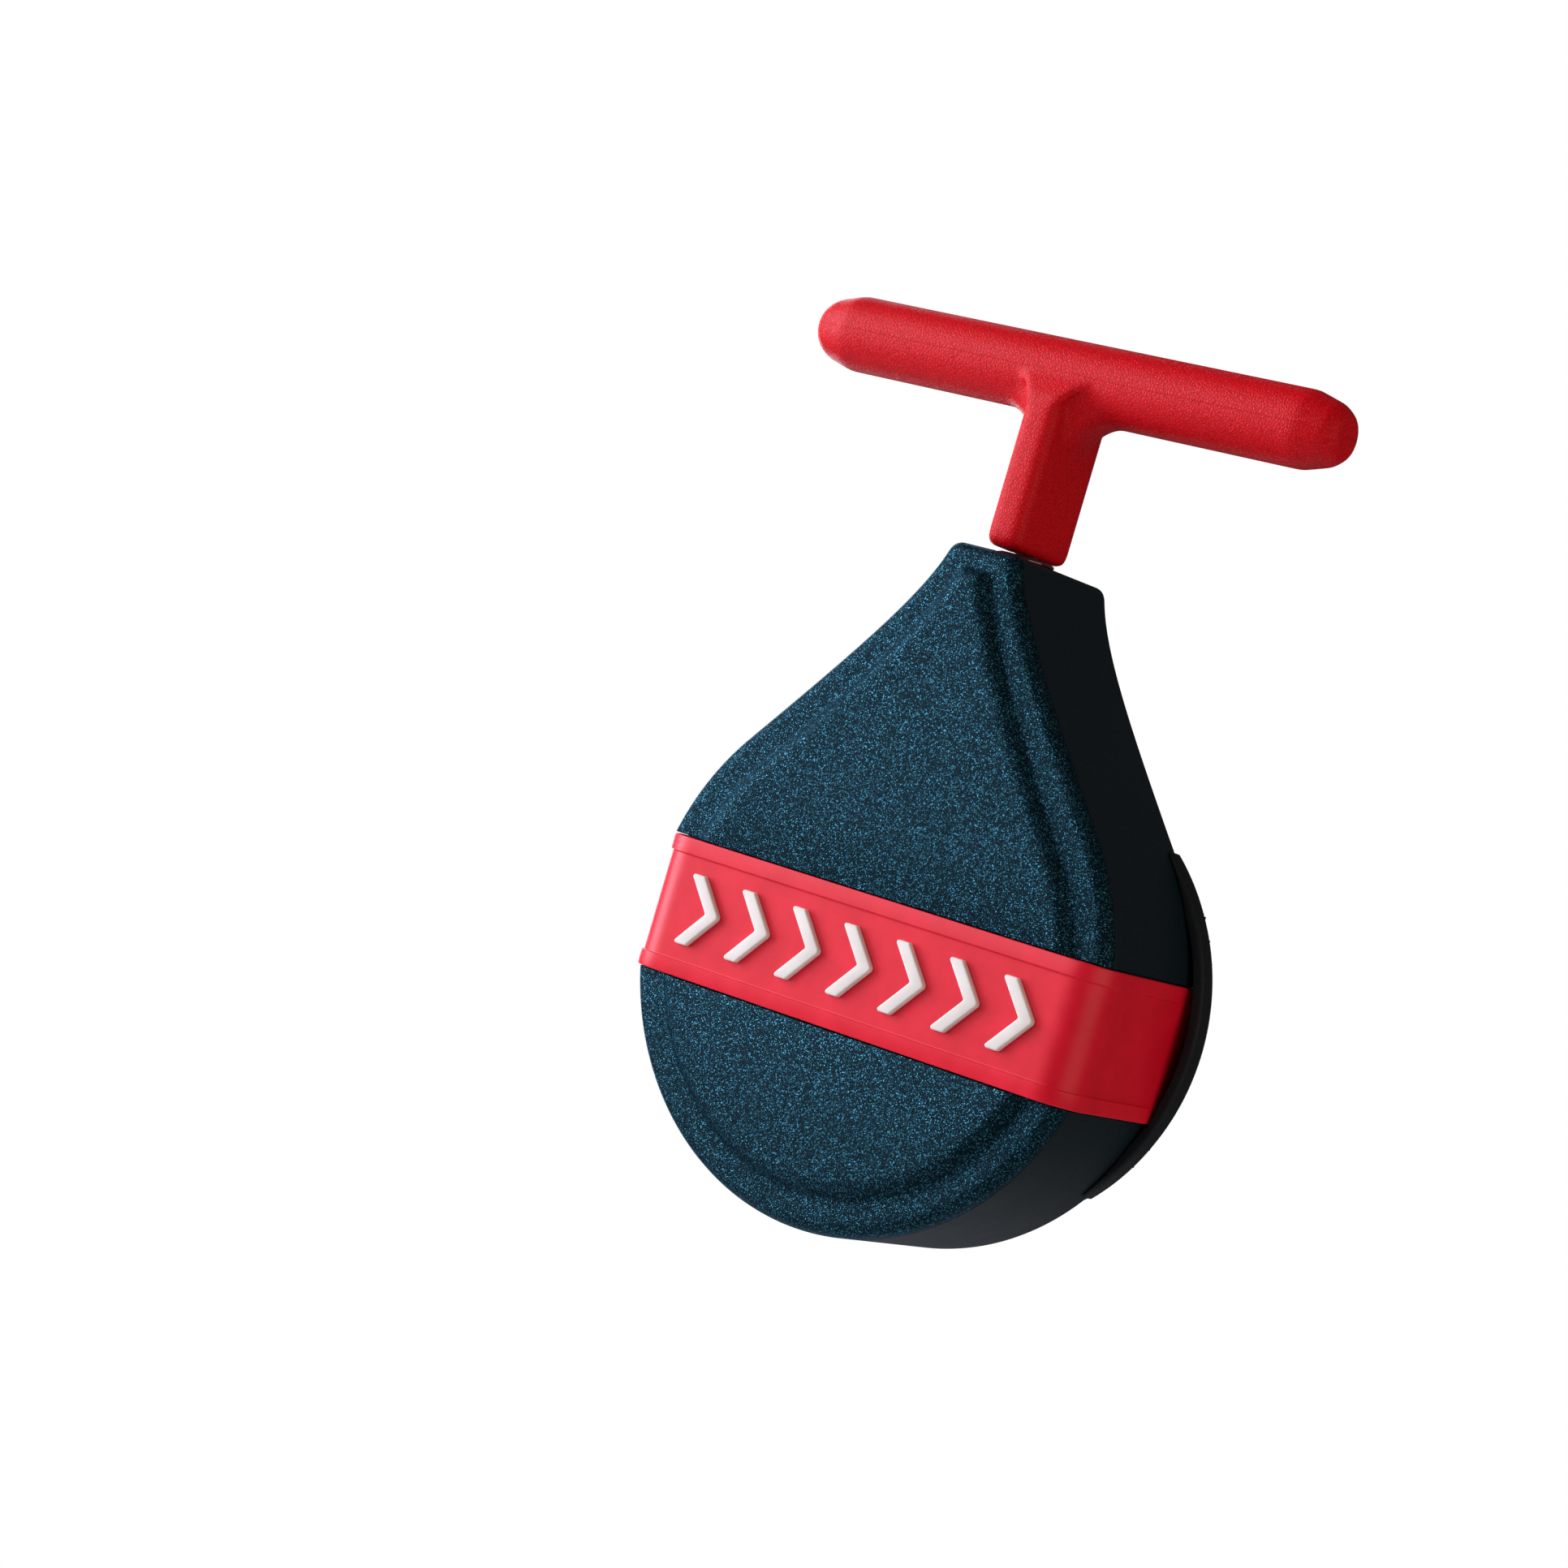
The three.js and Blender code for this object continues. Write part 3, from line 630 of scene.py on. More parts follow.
def rounded(corners: Sequence[tuple[float, float, float]], steps: int = 4) -> list[Pair]:
    """Rounds the corners of a closed outline.

    Args:
        corners: (x, y, radius) for each corner.
        steps: steps in each rounded corner.

    Returns:
        The outline's points.
    """
    out: list[Pair] = []
    count = len(corners)
    for i, (x, y, radius) in enumerate(corners):
        here = Vector((x, y))
        back = Vector(corners[i - 1][:2]) - here
        ahead = Vector(corners[(i + 1) % count][:2]) - here
        if radius <= 0:
            out.append((x, y))
            continue
        half = back.angle(ahead) / 2
        reach = min(radius / math.tan(half), 0.49 * back.length, 0.49 * ahead.length)
        true_radius = reach * math.tan(half)
        middle = (back.normalized() + ahead.normalized()).normalized()
        centre = here + middle * (true_radius / math.sin(half))
        start = here + back.normalized() * reach - centre
        end = here + ahead.normalized() * reach - centre
        turn = math.atan2(start.x * end.y - start.y * end.x, start.dot(end))
        for k in range(steps + 1):
            c, s = math.cos(turn * k / steps), math.sin(turn * k / steps)
            out.append(
                (centre.x + start.x * c - start.y * s, centre.y + start.x * s + start.y * c)
            )
    return out


def shrink(outline: np.ndarray, inset: float) -> np.ndarray:
    """Moves each point of a closed outline inwards.

    Args:
        outline: its points, anticlockwise.
        inset: how far in.

    Returns:
        The smaller outline.
    """
    ahead = np.roll(outline, -1, axis=0) - outline
    behind = outline - np.roll(outline, 1, axis=0)
    ahead /= np.linalg.norm(ahead, axis=1)[:, None]
    behind /= np.linalg.norm(behind, axis=1)[:, None]
    inward = np.stack((-(ahead + behind)[:, 1], (ahead + behind)[:, 0]), 1)
    length = np.linalg.norm(inward, axis=1)[:, None]
    return outline + inward / length * inset * 2 / length


def apply_modifiers(piece: Piece) -> Piece:
    """Replaces a piece's mesh with what its modifiers make of it.

    Args:
        piece: the piece that is changed.

    Returns:
        The piece, without modifiers.
    """
    graph = bpy.context.evaluated_depsgraph_get()
    mesh = bpy.data.meshes.new_from_object(piece.evaluated_get(graph))
    piece.modifiers.clear()
    piece.data = mesh
    return piece


def boolean(
    piece: Piece, tools: Sequence[Piece], operation: str = "DIFFERENCE"
) -> Piece:
    """Cuts or joins tools with a piece, and deletes the tools.

    Args:
        piece: the piece that is changed.
        tools: closed solids.
        operation: the Boolean modifier's operation.

    Returns:
        The piece.
    """
    for tool in tools:
        modifier = piece.modifiers.new("carve", "BOOLEAN")
        modifier.operation = operation
        modifier.solver = "EXACT"
        modifier.object = tool
        apply_modifiers(piece)
        bpy.data.objects.remove(tool)
    return piece


def ease(piece: Piece, width: float, angle: float, segments: int) -> Piece:
    """Rounds the sharp edges of a piece.

    Args:
        piece: the piece that is changed.
        width: the rounding's width, in metres.
        angle: how far faces have to turn at an edge that is rounded, in degrees.
        segments: steps in each rounding.

    Returns:
        The piece.
    """
    modifier = piece.modifiers.new("ease", "BEVEL")
    modifier.width = width
    modifier.segments = segments
    modifier.limit_method = "ANGLE"
    modifier.angle_limit = math.radians(angle)
    modifier.use_clamp_overlap = True
    return apply_modifiers(piece)


def prism(
    name: str,
    outline: Sequence[Pair],
    low: float,
    high: float,
    axis: Axis,
    centre: Optional[Sequence[float]] = None,
) -> Piece:
    """Extrudes a closed outline.

    Args:
        name: the piece's name.
        outline: points in millimetres; in X and Z if axis is Y, in X and Y if it is Z.
        low: where the extrusion starts along the axis, in millimetres.
        high: where it ends.
        axis: the axis it is extruded along.
        centre: the point that sizes are counted from, in metres; the layout's if None.

    Returns:
        The new object.
    """
    centre = LAYOUT.centre if centre is None else np.array(centre)
    rings = []
    for level in (low, high):
        if axis is Axis.Y:
            ring = [(x, level, z) for x, z in outline]
        else:
            ring = [(x, y, level) for x, y in outline]
        rings.append(np.array(ring) * MM + centre)
    return loft(name, rings)


def block(
    name: str, start: Pair, end: Pair, low: float, high: float, axis: Axis = Axis.Y
) -> Piece:
    """A box.

    Args:
        name: the piece's name.
        start: one corner of its outline, in millimetres.
        end: the opposite corner.
        low: where it starts along the axis.
        high: where it ends.
        axis: the axis it is extruded along.

    Returns:
        The new object.
    """
    (left, bottom), (right, top) = start, end
    outline = [(left, bottom), (right, bottom), (right, top), (left, top)]
    return prism(name, outline, low, high, axis)


def mount(
    piece: Piece,
    finish: Material,
    crease: float,
    body: str,
    slot: str,
    *nodes: str,
) -> Piece:
    """Shades and dresses a finished piece, and puts it on its body in place of CAD nodes.

    Args:
        piece: the piece, in place.
        finish: its material.
        crease: the angle in degrees from which an edge stays sharp.
        body: the body it rides on.
        slot: the record's material slot; not used.
        nodes: the CAD nodes it stands for.

    Returns:
        The piece.
    """
    smooth(piece, crease)
    piece.data.materials.append(finish)
    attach(piece, body)
    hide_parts(*nodes)
    LOG.info("%s on %s: %d faces", piece.name, body, len(piece.data.polygons))
    return piece


# ---- layout --------------------------------------------------------------------------------


@dataclass(frozen=True)
class Layout:
    """Where the case's own sizes are counted from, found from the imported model."""

    @property
    def centre(self) -> np.ndarray:
        """Where the spool axis crosses the plane of the cord, in metres."""
        low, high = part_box("cord_span")
        wheel_low, wheel_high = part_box("spool")
        return np.array((
            (low.x + high.x) / 2, (low.y + high.y) / 2, (wheel_low.z + wheel_high.z) / 2
        ))

    @staticmethod
    def lowest(node: str) -> Vector:
        """A CAD node's lowest corner from the layout's centre, in millimetres."""
        return (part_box(node)[0] - Vector(LAYOUT.centre)) / MM

    @staticmethod
    def highest(node: str) -> Vector:
        """A CAD node's highest corner from the layout's centre, in millimetres."""
        return (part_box(node)[1] - Vector(LAYOUT.centre)) / MM


LAYOUT = Layout()


def upright(outline: np.ndarray, depth: float) -> np.ndarray:
    """An outline's (x, z) points stood up at a depth along Y."""
    return np.stack((outline[:, 0], np.full(len(outline), depth), outline[:, 1]), 1)


def placed(points: Iterable[Sequence[float]]) -> np.ndarray:
    """Points in millimetres from the layout's centre, as metres in the model's frame."""
    return np.array(points) * MM + LAYOUT.centre


@dataclass(frozen=True)
class CaseOutline:
    """The case seen from the front: a circle, two flanks and a narrow neck. Millimetres."""

    radius: float = 45.4
    flank_start: float = math.radians(39.5)
    neck_half: float = 6.6
    neck_top: float = 69.5
    lean: Pair = (-0.2496, 0.9684)
    flank_pull: float = 26.0
    neck_pull: float = 9.0
    corner: float = 1.7
    arc_steps: int = 90
    flank_steps: int = 60
    corner_steps: int = 6

    def flank(self, share: np.ndarray) -> tuple[np.ndarray, np.ndarray]:
        """The flank, a cubic curve from the circle to the neck.

        Args:
            share: places along it, from 0 to 1.

        Returns:
            Its points and its outward normals.
        """
        start = self.radius * np.array((math.cos(self.flank_start), math.sin(self.flank_start)))
        leave = np.array((-math.sin(self.flank_start), math.cos(self.flank_start)))
        end = np.array((self.neck_half, self.neck_top))
        a, b = start, start + leave * self.flank_pull
        c, d = end - np.array(self.lean) * self.neck_pull, end
        t = share[:, None]
        u = 1 - t
        point = u**3 * a + 3 * u**2 * t * b + 3 * u * t**2 * c + t**3 * d
        slope = 3 * (u**2 * (b - a) + 2 * u * t * (c - b) + t**2 * (d - c))
        slope /= np.linalg.norm(slope, axis=1)[:, None]
        return point, np.stack((slope[:, 1], -slope[:, 0]), 1)

    def ring(self, inset: float, spread: float = 0.0) -> np.ndarray:
        """The outline moved in by inset, with the same number of points for any inset.

        Args:
            inset: how far in, in millimetres.
            spread: how much less far in it is at the neck.

        Returns:
            The closed outline's (x, z) points.
        """
        angle = np.linspace(-math.pi / 2, self.flank_start, self.arc_steps)
        arc = (self.radius - inset) * np.stack((np.cos(angle), np.sin(angle)), 1)
        share = np.linspace(0, 1.04, 400)
        point, normal = self.flank(share)
        rise = np.clip(share / 0.9, 0, 1)
        line = point - normal * (inset - spread * rise * rise * (3 - 2 * rise))[:, None]
        inset -= spread
        top = self.neck_top - inset * 0.8
        corner = max(self.corner - inset * 0.35, 0.5)
        keep = (line[:, 1] < top - corner) & (line[:, 0] > corner * 0.75)
        line = line[: max(int(np.argmin(keep)), 2)] if not keep.all() else line
        last, along = line[-1], line[-1] - line[-2]
        along = along / np.linalg.norm(along)
        high = min(top, last[1] + along[1] * corner * 1.3)
        tip = last + along * (high - last[1]) / max(along[1], 0.2)
        inner = np.array((max(tip[0] - corner, 0.0), high))
        length = np.concatenate(([0], np.cumsum(np.linalg.norm(np.diff(line, axis=0), axis=1))))
        at = np.linspace(0, length[-1], self.flank_steps + 1)[1:]
        side = np.stack([np.interp(at, length, line[:, k]) for k in (0, 1)], 1)
        t = np.linspace(0, 1, self.corner_steps + 1)[1:, None]
        turn = (1 - t) ** 2 * last + 2 * (1 - t) * t * tip + t**2 * inner
        right = np.vstack((arc, side, turn))
        left = right[1:][::-1] * np.array((-1, 1))
        return np.vstack((right, left))

    def level(self, inset: float, depth: float, spread: float = 0.0) -> np.ndarray:
        """The ring at a depth along Y, as points in metres in the model's frame."""
        return placed(upright(self.ring(inset, spread), depth))


OUTLINE = CaseOutline()


def quarter(start: Pair, centre: Pair, radius: float, turn: float, steps: int = 8) -> list[Pair]:
    """Points on an arc.

    Args:
        start: a point in the direction of the arc's first point, as (inset, depth).
        centre: the arc's centre.
        radius: its radius.
        turn: the angle it turns through, in radians.
        steps: steps along it.

    Returns:
        Its points.
    """
    first = math.atan2(start[1] - centre[1], start[0] - centre[0])
    return [
        (
            centre[0] + radius * math.cos(first + turn * i / steps),
            centre[1] + radius * math.sin(first + turn * i / steps),
        )
        for i in range(steps + 1)
    ]


# ---- case ----------------------------------------------------------------------------------


@dataclass
class StrapSeat:
    """The channel that the strap lies in, round the front and both sides. Millimetres."""

    side: float = 42.7
    front: float = -12.8
    corner: float = 4.5
    low: float = -12.95
    high: float = 10.45
    open_to: float = 60.0

    def cutter(self) -> Piece:
        """A solid that takes the channel out of the case."""
        core = rounded(
            [
                (-self.side, self.open_to, 0), (-self.side, self.front, self.corner),
                (self.side, self.front, self.corner), (self.side, self.open_to, 0),
            ],
            10,
        )
        outer = block("seat_cutter", (-70, -40), (70, 50), self.low, self.high, Axis.Z)
        inner = prism("seat_core", core, self.low - 1, self.high + 1, Axis.Z)
        return boolean(outer, [inner])


@dataclass
class FrontCover:
    """The sparkling front shell: a rounded rim, a ledge and a raised plateau. Millimetres."""

    parting: float = -10.4
    rim: float = -13.0
    plateau: float = -14.8
    edge: float = 2.4
    foot: float = 5.5
    hollow_radius: float = 1.3
    crest_radius: float = 3.0
    neck_spread: float = 1.3

    def sections(self) -> list[tuple[float, float, float]]:
        """(inset, depth, spread) of each ring, from the parting line to the plateau."""
        straight = self.rim + self.edge
        out: list[Pair] = [
            (0.35, self.parting + 0.02), (0.12, self.parting - 0.06), (0.0, self.parting - 0.16)
        ]
        out += quarter((0, straight), (self.edge, straight), self.edge, math.pi / 2, 10)
        out += [(3.2, self.rim), (self.foot - 0.8, self.rim)]
        low, high = self.hollow_radius, self.crest_radius
        bend = 1 - math.cos(math.pi / 4)
        rise = self.rim - self.plateau - (low + high) * bend
        step = [(self.foot, self.rim)]
        for turn in np.linspace(0, math.pi / 4, 6)[1:]:
            step.append((self.foot + low * math.sin(turn), self.rim - low * (1 - math.cos(turn))))
        inner = step[-1][0] + rise + high * math.sin(math.pi / 4)
        for turn in np.linspace(math.pi / 4, 0, 9):
            depth = self.plateau + high * (1 - math.cos(turn))
            step.append((inner - high * math.sin(turn), depth))
        step.append((inner + 0.6, self.plateau - 0.004))
        return [(a, b, 0.0) for a, b in out] + [(a, b, self.neck_spread) for a, b in step]

    def build(self, finish: Material) -> Piece:
        """Makes the cover and puts its finish on.

        Args:
            finish: its material.

        Returns:
            The mounted piece.
        """
        rings = [OUTLINE.level(*section) for section in self.sections()]
        piece = loft("front_cover_shell", rings)
        boolean(piece, [StrapSeat().cutter()])
        ease(piece, 0.22 * MM, 55, 2)
        return mount(piece, finish, 38, "case", "cover_plastic", "front_cover")


@dataclass
class RearHousing:
    """The deep rear shell with the side walls, the neck and the screw recesses. Millimetres."""

    parting: float = -10.4
    back: float = 18.2
    edge: float = 2.4
    wall: float = 2.0
    outlet: float = 3.9
    recess: float = 2.7
    recess_depth: float = 2.0
    post: float = 3.0
    neck_from: float = 56.0
    backing_in: float = 40.7
    backing_low: float = -15.0
    backing_high: float = 12.5
    screw_places: tuple[Pair, ...] = ((10.5, 51.0), (35.7, 19.3), (21.8, -34.2))

    def sections(self) -> list[Pair]:
        """(inset, depth) of each ring, from the parting line to the back."""
        straight = self.back - self.edge
        out: list[Pair] = [
            (0.35, self.parting + 0.06), (0.12, self.parting + 0.14), (0.0, self.parting + 0.26)
        ]
        out += quarter((0, straight), (self.edge, straight), self.edge, -math.pi / 2, 10)
        out += [(self.edge + 1.5, self.back)]
        return out

    def build(self, finish: Material) -> Piece:
        """Makes the housing and puts its finish on.

        Args:
            finish: its material.

        Returns:
            The mounted piece.
        """
        rings = [OUTLINE.level(inset, depth) for inset, depth in self.sections()]
        piece = loft("rear_housing_shell", rings)
        recess_floor = self.back - self.recess_depth
        boolean(piece, [self.cavity()])
        boolean(piece, self.at_screws("post", self.post, -4, self.back - 1, 32), "UNION")
        outlet = rod("outlet", self.outlet, 50, 80, Axis.Z)
        bores = self.at_screws("bore", self.recess, recess_floor, 30, 40)
        boolean(piece, [outlet, *bores, StrapSeat().cutter()])
        ease(piece, 0.22 * MM, 55, 2)
        return mount(piece, finish, 38, "case", "housing_plastic", "rear_housing")


    def cavity(self) -> Piece:
        """The hollow, which stops short of the neck and leaves a backing behind the strap."""
        inset = self.wall + 0.4
        hollow = loft("cavity", [
            OUTLINE.level(inset, self.parting - 1),
            OUTLINE.level(inset, self.back - self.wall),
        ])
        blocks = [block("neck_block", (-60, self.neck_from), (60, 90), -30, 40)]
        for start, end in ((-self.backing_in - 60, -self.backing_in),
                           (self.backing_in, self.backing_in + 60)):
            low, high = (start, self.backing_low), (end, self.backing_high)
            blocks.append(block("backing", low, high, -30, 40))
        return boolean(hollow, blocks)

    def at_screws(
        self, name: str, radius: float, low: float, high: float, segments: int
    ) -> list[Piece]:
        """A round solid at each screw.

        Args:
            name: the solids' name.
            radius: their radius, in millimetres.
            low: where they start along Y.
            high: where they end.
            segments: steps round each.

        Returns:
            The solids.
        """
        return [
            rod(name, radius, low, high, Axis.Y, placed((side * x, 0, z)), segments)
            for x, z in self.screw_places
            for side in (1, -1)
        ]


@dataclass
class Screw:
    """A pan-head screw with a hexagon socket. Millimetres."""

    name: str
    node: str
    head: float
    thickness: float
    shank: float
    socket: float = 1.15
    socket_depth: float = 0.9
    crown: float = 0.35

    def build(self, finish: Material) -> Piece:
        """Makes the screw where its CAD node is.

        Args:
            finish: its material.

        Returns:
            The mounted piece.
        """
        low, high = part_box(self.node)
        centre = np.array(((low.x + high.x) / 2, high.y, (low.z + high.z) / 2))
        length = (high.y - low.y) / MM
        head, seat, crown = self.head, -self.thickness, -self.crown
        profile = [
            (AXIS_R, -length), (self.shank - 0.3, -length), (self.shank, -length + 0.6),
            (self.shank, seat), (head - 0.1, seat), (head, seat + 0.15), (head, crown - 0.2),
            (head - 0.12, crown), (head - 0.45, -0.08), (head - 0.9, 0.0), (AXIS_R, 0.0),
        ]
        piece = turned(self.name, profile, Axis.Y, centre, 48)
        hexagon = circle(self.socket, 6)
        boolean(piece, [prism("socket", hexagon, -self.socket_depth, 1.0, Axis.Y, centre)])
        return mount(piece, finish, 30, "case", "steel", self.node)


# ---- cradle --------------------------------------------------------------------------------


@dataclass
class Cradle:
    """The rubber cradle: wings that stand out past the case, and a channel for a tube."""

    wing_radius: float = 39.0
    wing_x: float = 9.6
    wing_z: float = 0.5
    front: float = 18.5
    floor: float = 20.4
    floor_half: float = 5.0
    land: float = 26.2
    land_in: float = 15.0
    land_out: float = 26.0
    flank_pull: float = 11.0
    shoulder: float = 21.0
    lip: float = 1.8
    lip_front: float = 13.5
    top: float = 34.0
    bottom: float = -30.0
    turn: float = 16.5
    slope_end: float = 22.0
    taper: float = 3.6
    lip_round: float = 0.7
    lip_top: float = 31.0
    lip_bottom: float = -27.4
    windows: tuple[Pair, ...] = ((-44.7, -40.4), (40.0, 44.6))
    window_low: float = -13.1
    window_high: float = 10.6
    screw_z: float = 21.0
    screw_seat: float = 2.9
    screw_seat_depth: float = 1.1
    rib_heights: tuple[float, ...] = (-20.0, -16.5, 14.5, 18.0, 21.5)
    rib_half: float = 0.5
    knob: Pair = (-33.0, -1.25)

    @property
    def reach(self) -> float:
        """Half the width across the wings."""
        return self.wing_x + self.wing_radius

    @property
    def slope(self) -> float:
        """The angle of the back's slopes."""
        return math.atan2(self.land - self.shoulder, self.reach - 2 - self.land_out)

    def outline(self, inset: float = 0.0) -> list[Pair]:
        """The cradle seen from behind: two wing arcs, a gently curved top and bottom."""
        radius = self.wing_radius - inset
        low = math.asin((self.bottom - self.wing_z) / self.wing_radius) + 0.02
        high = math.asin((self.top - 4 - self.wing_z) / self.wing_radius) + 0.02
        right = [
            (self.wing_x + radius * math.cos(a), self.wing_z + radius * math.sin(a))
            for a in np.linspace(low, high, 64)
        ]
        crown = [
            (x, self.top - 0.6 - inset - 2.6 * (x / 26) ** 4) for x in np.linspace(24, 0, 13)
        ]
        foot = [
            (x, self.bottom - 0.4 + inset + 0.8 * (x / 26) ** 2) for x in np.linspace(0, 18, 8)
        ]
        half = foot + right + crown
        left = [(-x, z) for x, z in half[::-1] if x > 1e-6]
        return half + left

    def shell(self, back: float) -> Piece:
        """The space inside the wings' rounded front edge and their sloping sides, up to back."""
        levels = []
        for turn in np.linspace(0, math.pi / 2, 6):
            ease_in = self.lip_round * (1 - math.sin(turn))
            levels.append((ease_in, self.lip_front + self.lip_round * (1 - math.cos(turn))))
        for share in (0, 0.04, 0.12, 0.25, 0.5, 1.0):
            depth = self.turn + (self.slope_end - self.turn) * share
            levels.append((self.taper * share * (0.6 + 0.4 * share), depth))
        kept = [(inset, depth) for inset, depth in levels if depth < back]
        kept.append((self.taper if back > self.slope_end else kept[-1][0] + 0.5, back))
        rings = [placed([(x, depth, z) for x, z in self.outline(inset)]) for inset, depth in kept]
        return loft("shell", rings)

    def section(self) -> list[Pair]:
        """The cradle cut across: slopes, two lands and the channel between them."""
        start = np.array((self.land_in, self.land))
        pull = np.array((self.flank_pull, self.floor + 0.9))
        end = np.array((self.floor_half, self.floor))
        flank = [
            tuple((1 - t) ** 2 * start + 2 * (1 - t) * t * pull + t**2 * end)
            for t in np.linspace(0.0, 1, 14)
        ]
        right = [(self.reach + 1, self.front, 0), (self.reach + 1, self.shoulder - 1.6, 0),
                 (self.reach - 2, self.shoulder, 2.5), (self.land_out, self.land, 3.0)]
        right += [(x, y, 0.8 if i == 0 else 0) for i, (x, y) in enumerate(flank)]
        left = [(-x, y, r) for x, y, r in right[::-1]]
        return rounded(right + left, 5)

    def build(self, finish: Material) -> Piece:
        """Makes the cradle with its wings, slots, ribs and screw seats.

        Args:
            finish: its material.

        Returns:
            The mounted piece.
        """
        plate = prism("cradle_body", self.section(), self.bottom - 2, self.top + 2, Axis.Z)
        shape = self.shell(40)
        boolean(plate, [shape], "INTERSECT")
        lip = self.shell(self.front + 0.5)
        inside = self.outline(self.lip)
        hollow = prism("hollow", inside, self.lip_front - 1, self.front + 0.1, Axis.Y)
        keep = block("keep", (-60, self.lip_bottom), (60, self.lip_top), 0, 40)
        case = loft("case", [OUTLINE.level(-0.3, 0), OUTLINE.level(-0.3, self.front)])
        boolean(lip, [hollow, case])
        boolean(lip, [keep], "INTERSECT")
        boolean(plate, [lip, *self.ribs()], "UNION")
        cutters = [
            block("window", (a, self.window_low), (b, self.window_high), 10, 30)
            for a, b in self.windows
        ]
        seat_floor = self.floor - self.screw_seat_depth
        for side in (1, -1):
            seat = placed((0, 0, side * self.screw_z))
            cutters.append(rod("seat", self.screw_seat, seat_floor, 30, Axis.Y, seat, 40))
        boolean(plate, cutters)
        plate.name = "cradle_body"
        ease(plate, 0.45 * MM, 35, 3)
        return mount(plate, finish, 36, "case", "cradle_rubber", "cradle")

    def ribs(self) -> list[Piece]:
        """Short ribs in each slot that keep the wing off the case."""
        made = []
        for height in self.rib_heights:
            wall = math.sqrt(OUTLINE.radius**2 - height**2) + 0.35
            drop = height - self.wing_z
            wing = self.wing_x + math.sqrt(self.wing_radius**2 - drop**2) - 1.3
            low, high = height - self.rib_half, height + self.rib_half
            for side in (1, -1):
                start, end = (side * wall, low), (side * wing, high)
                made.append(block("rib", start, end, self.lip_front + 1.2, self.front + 0.4))
        return made


# ---- strap ---------------------------------------------------------------------------------


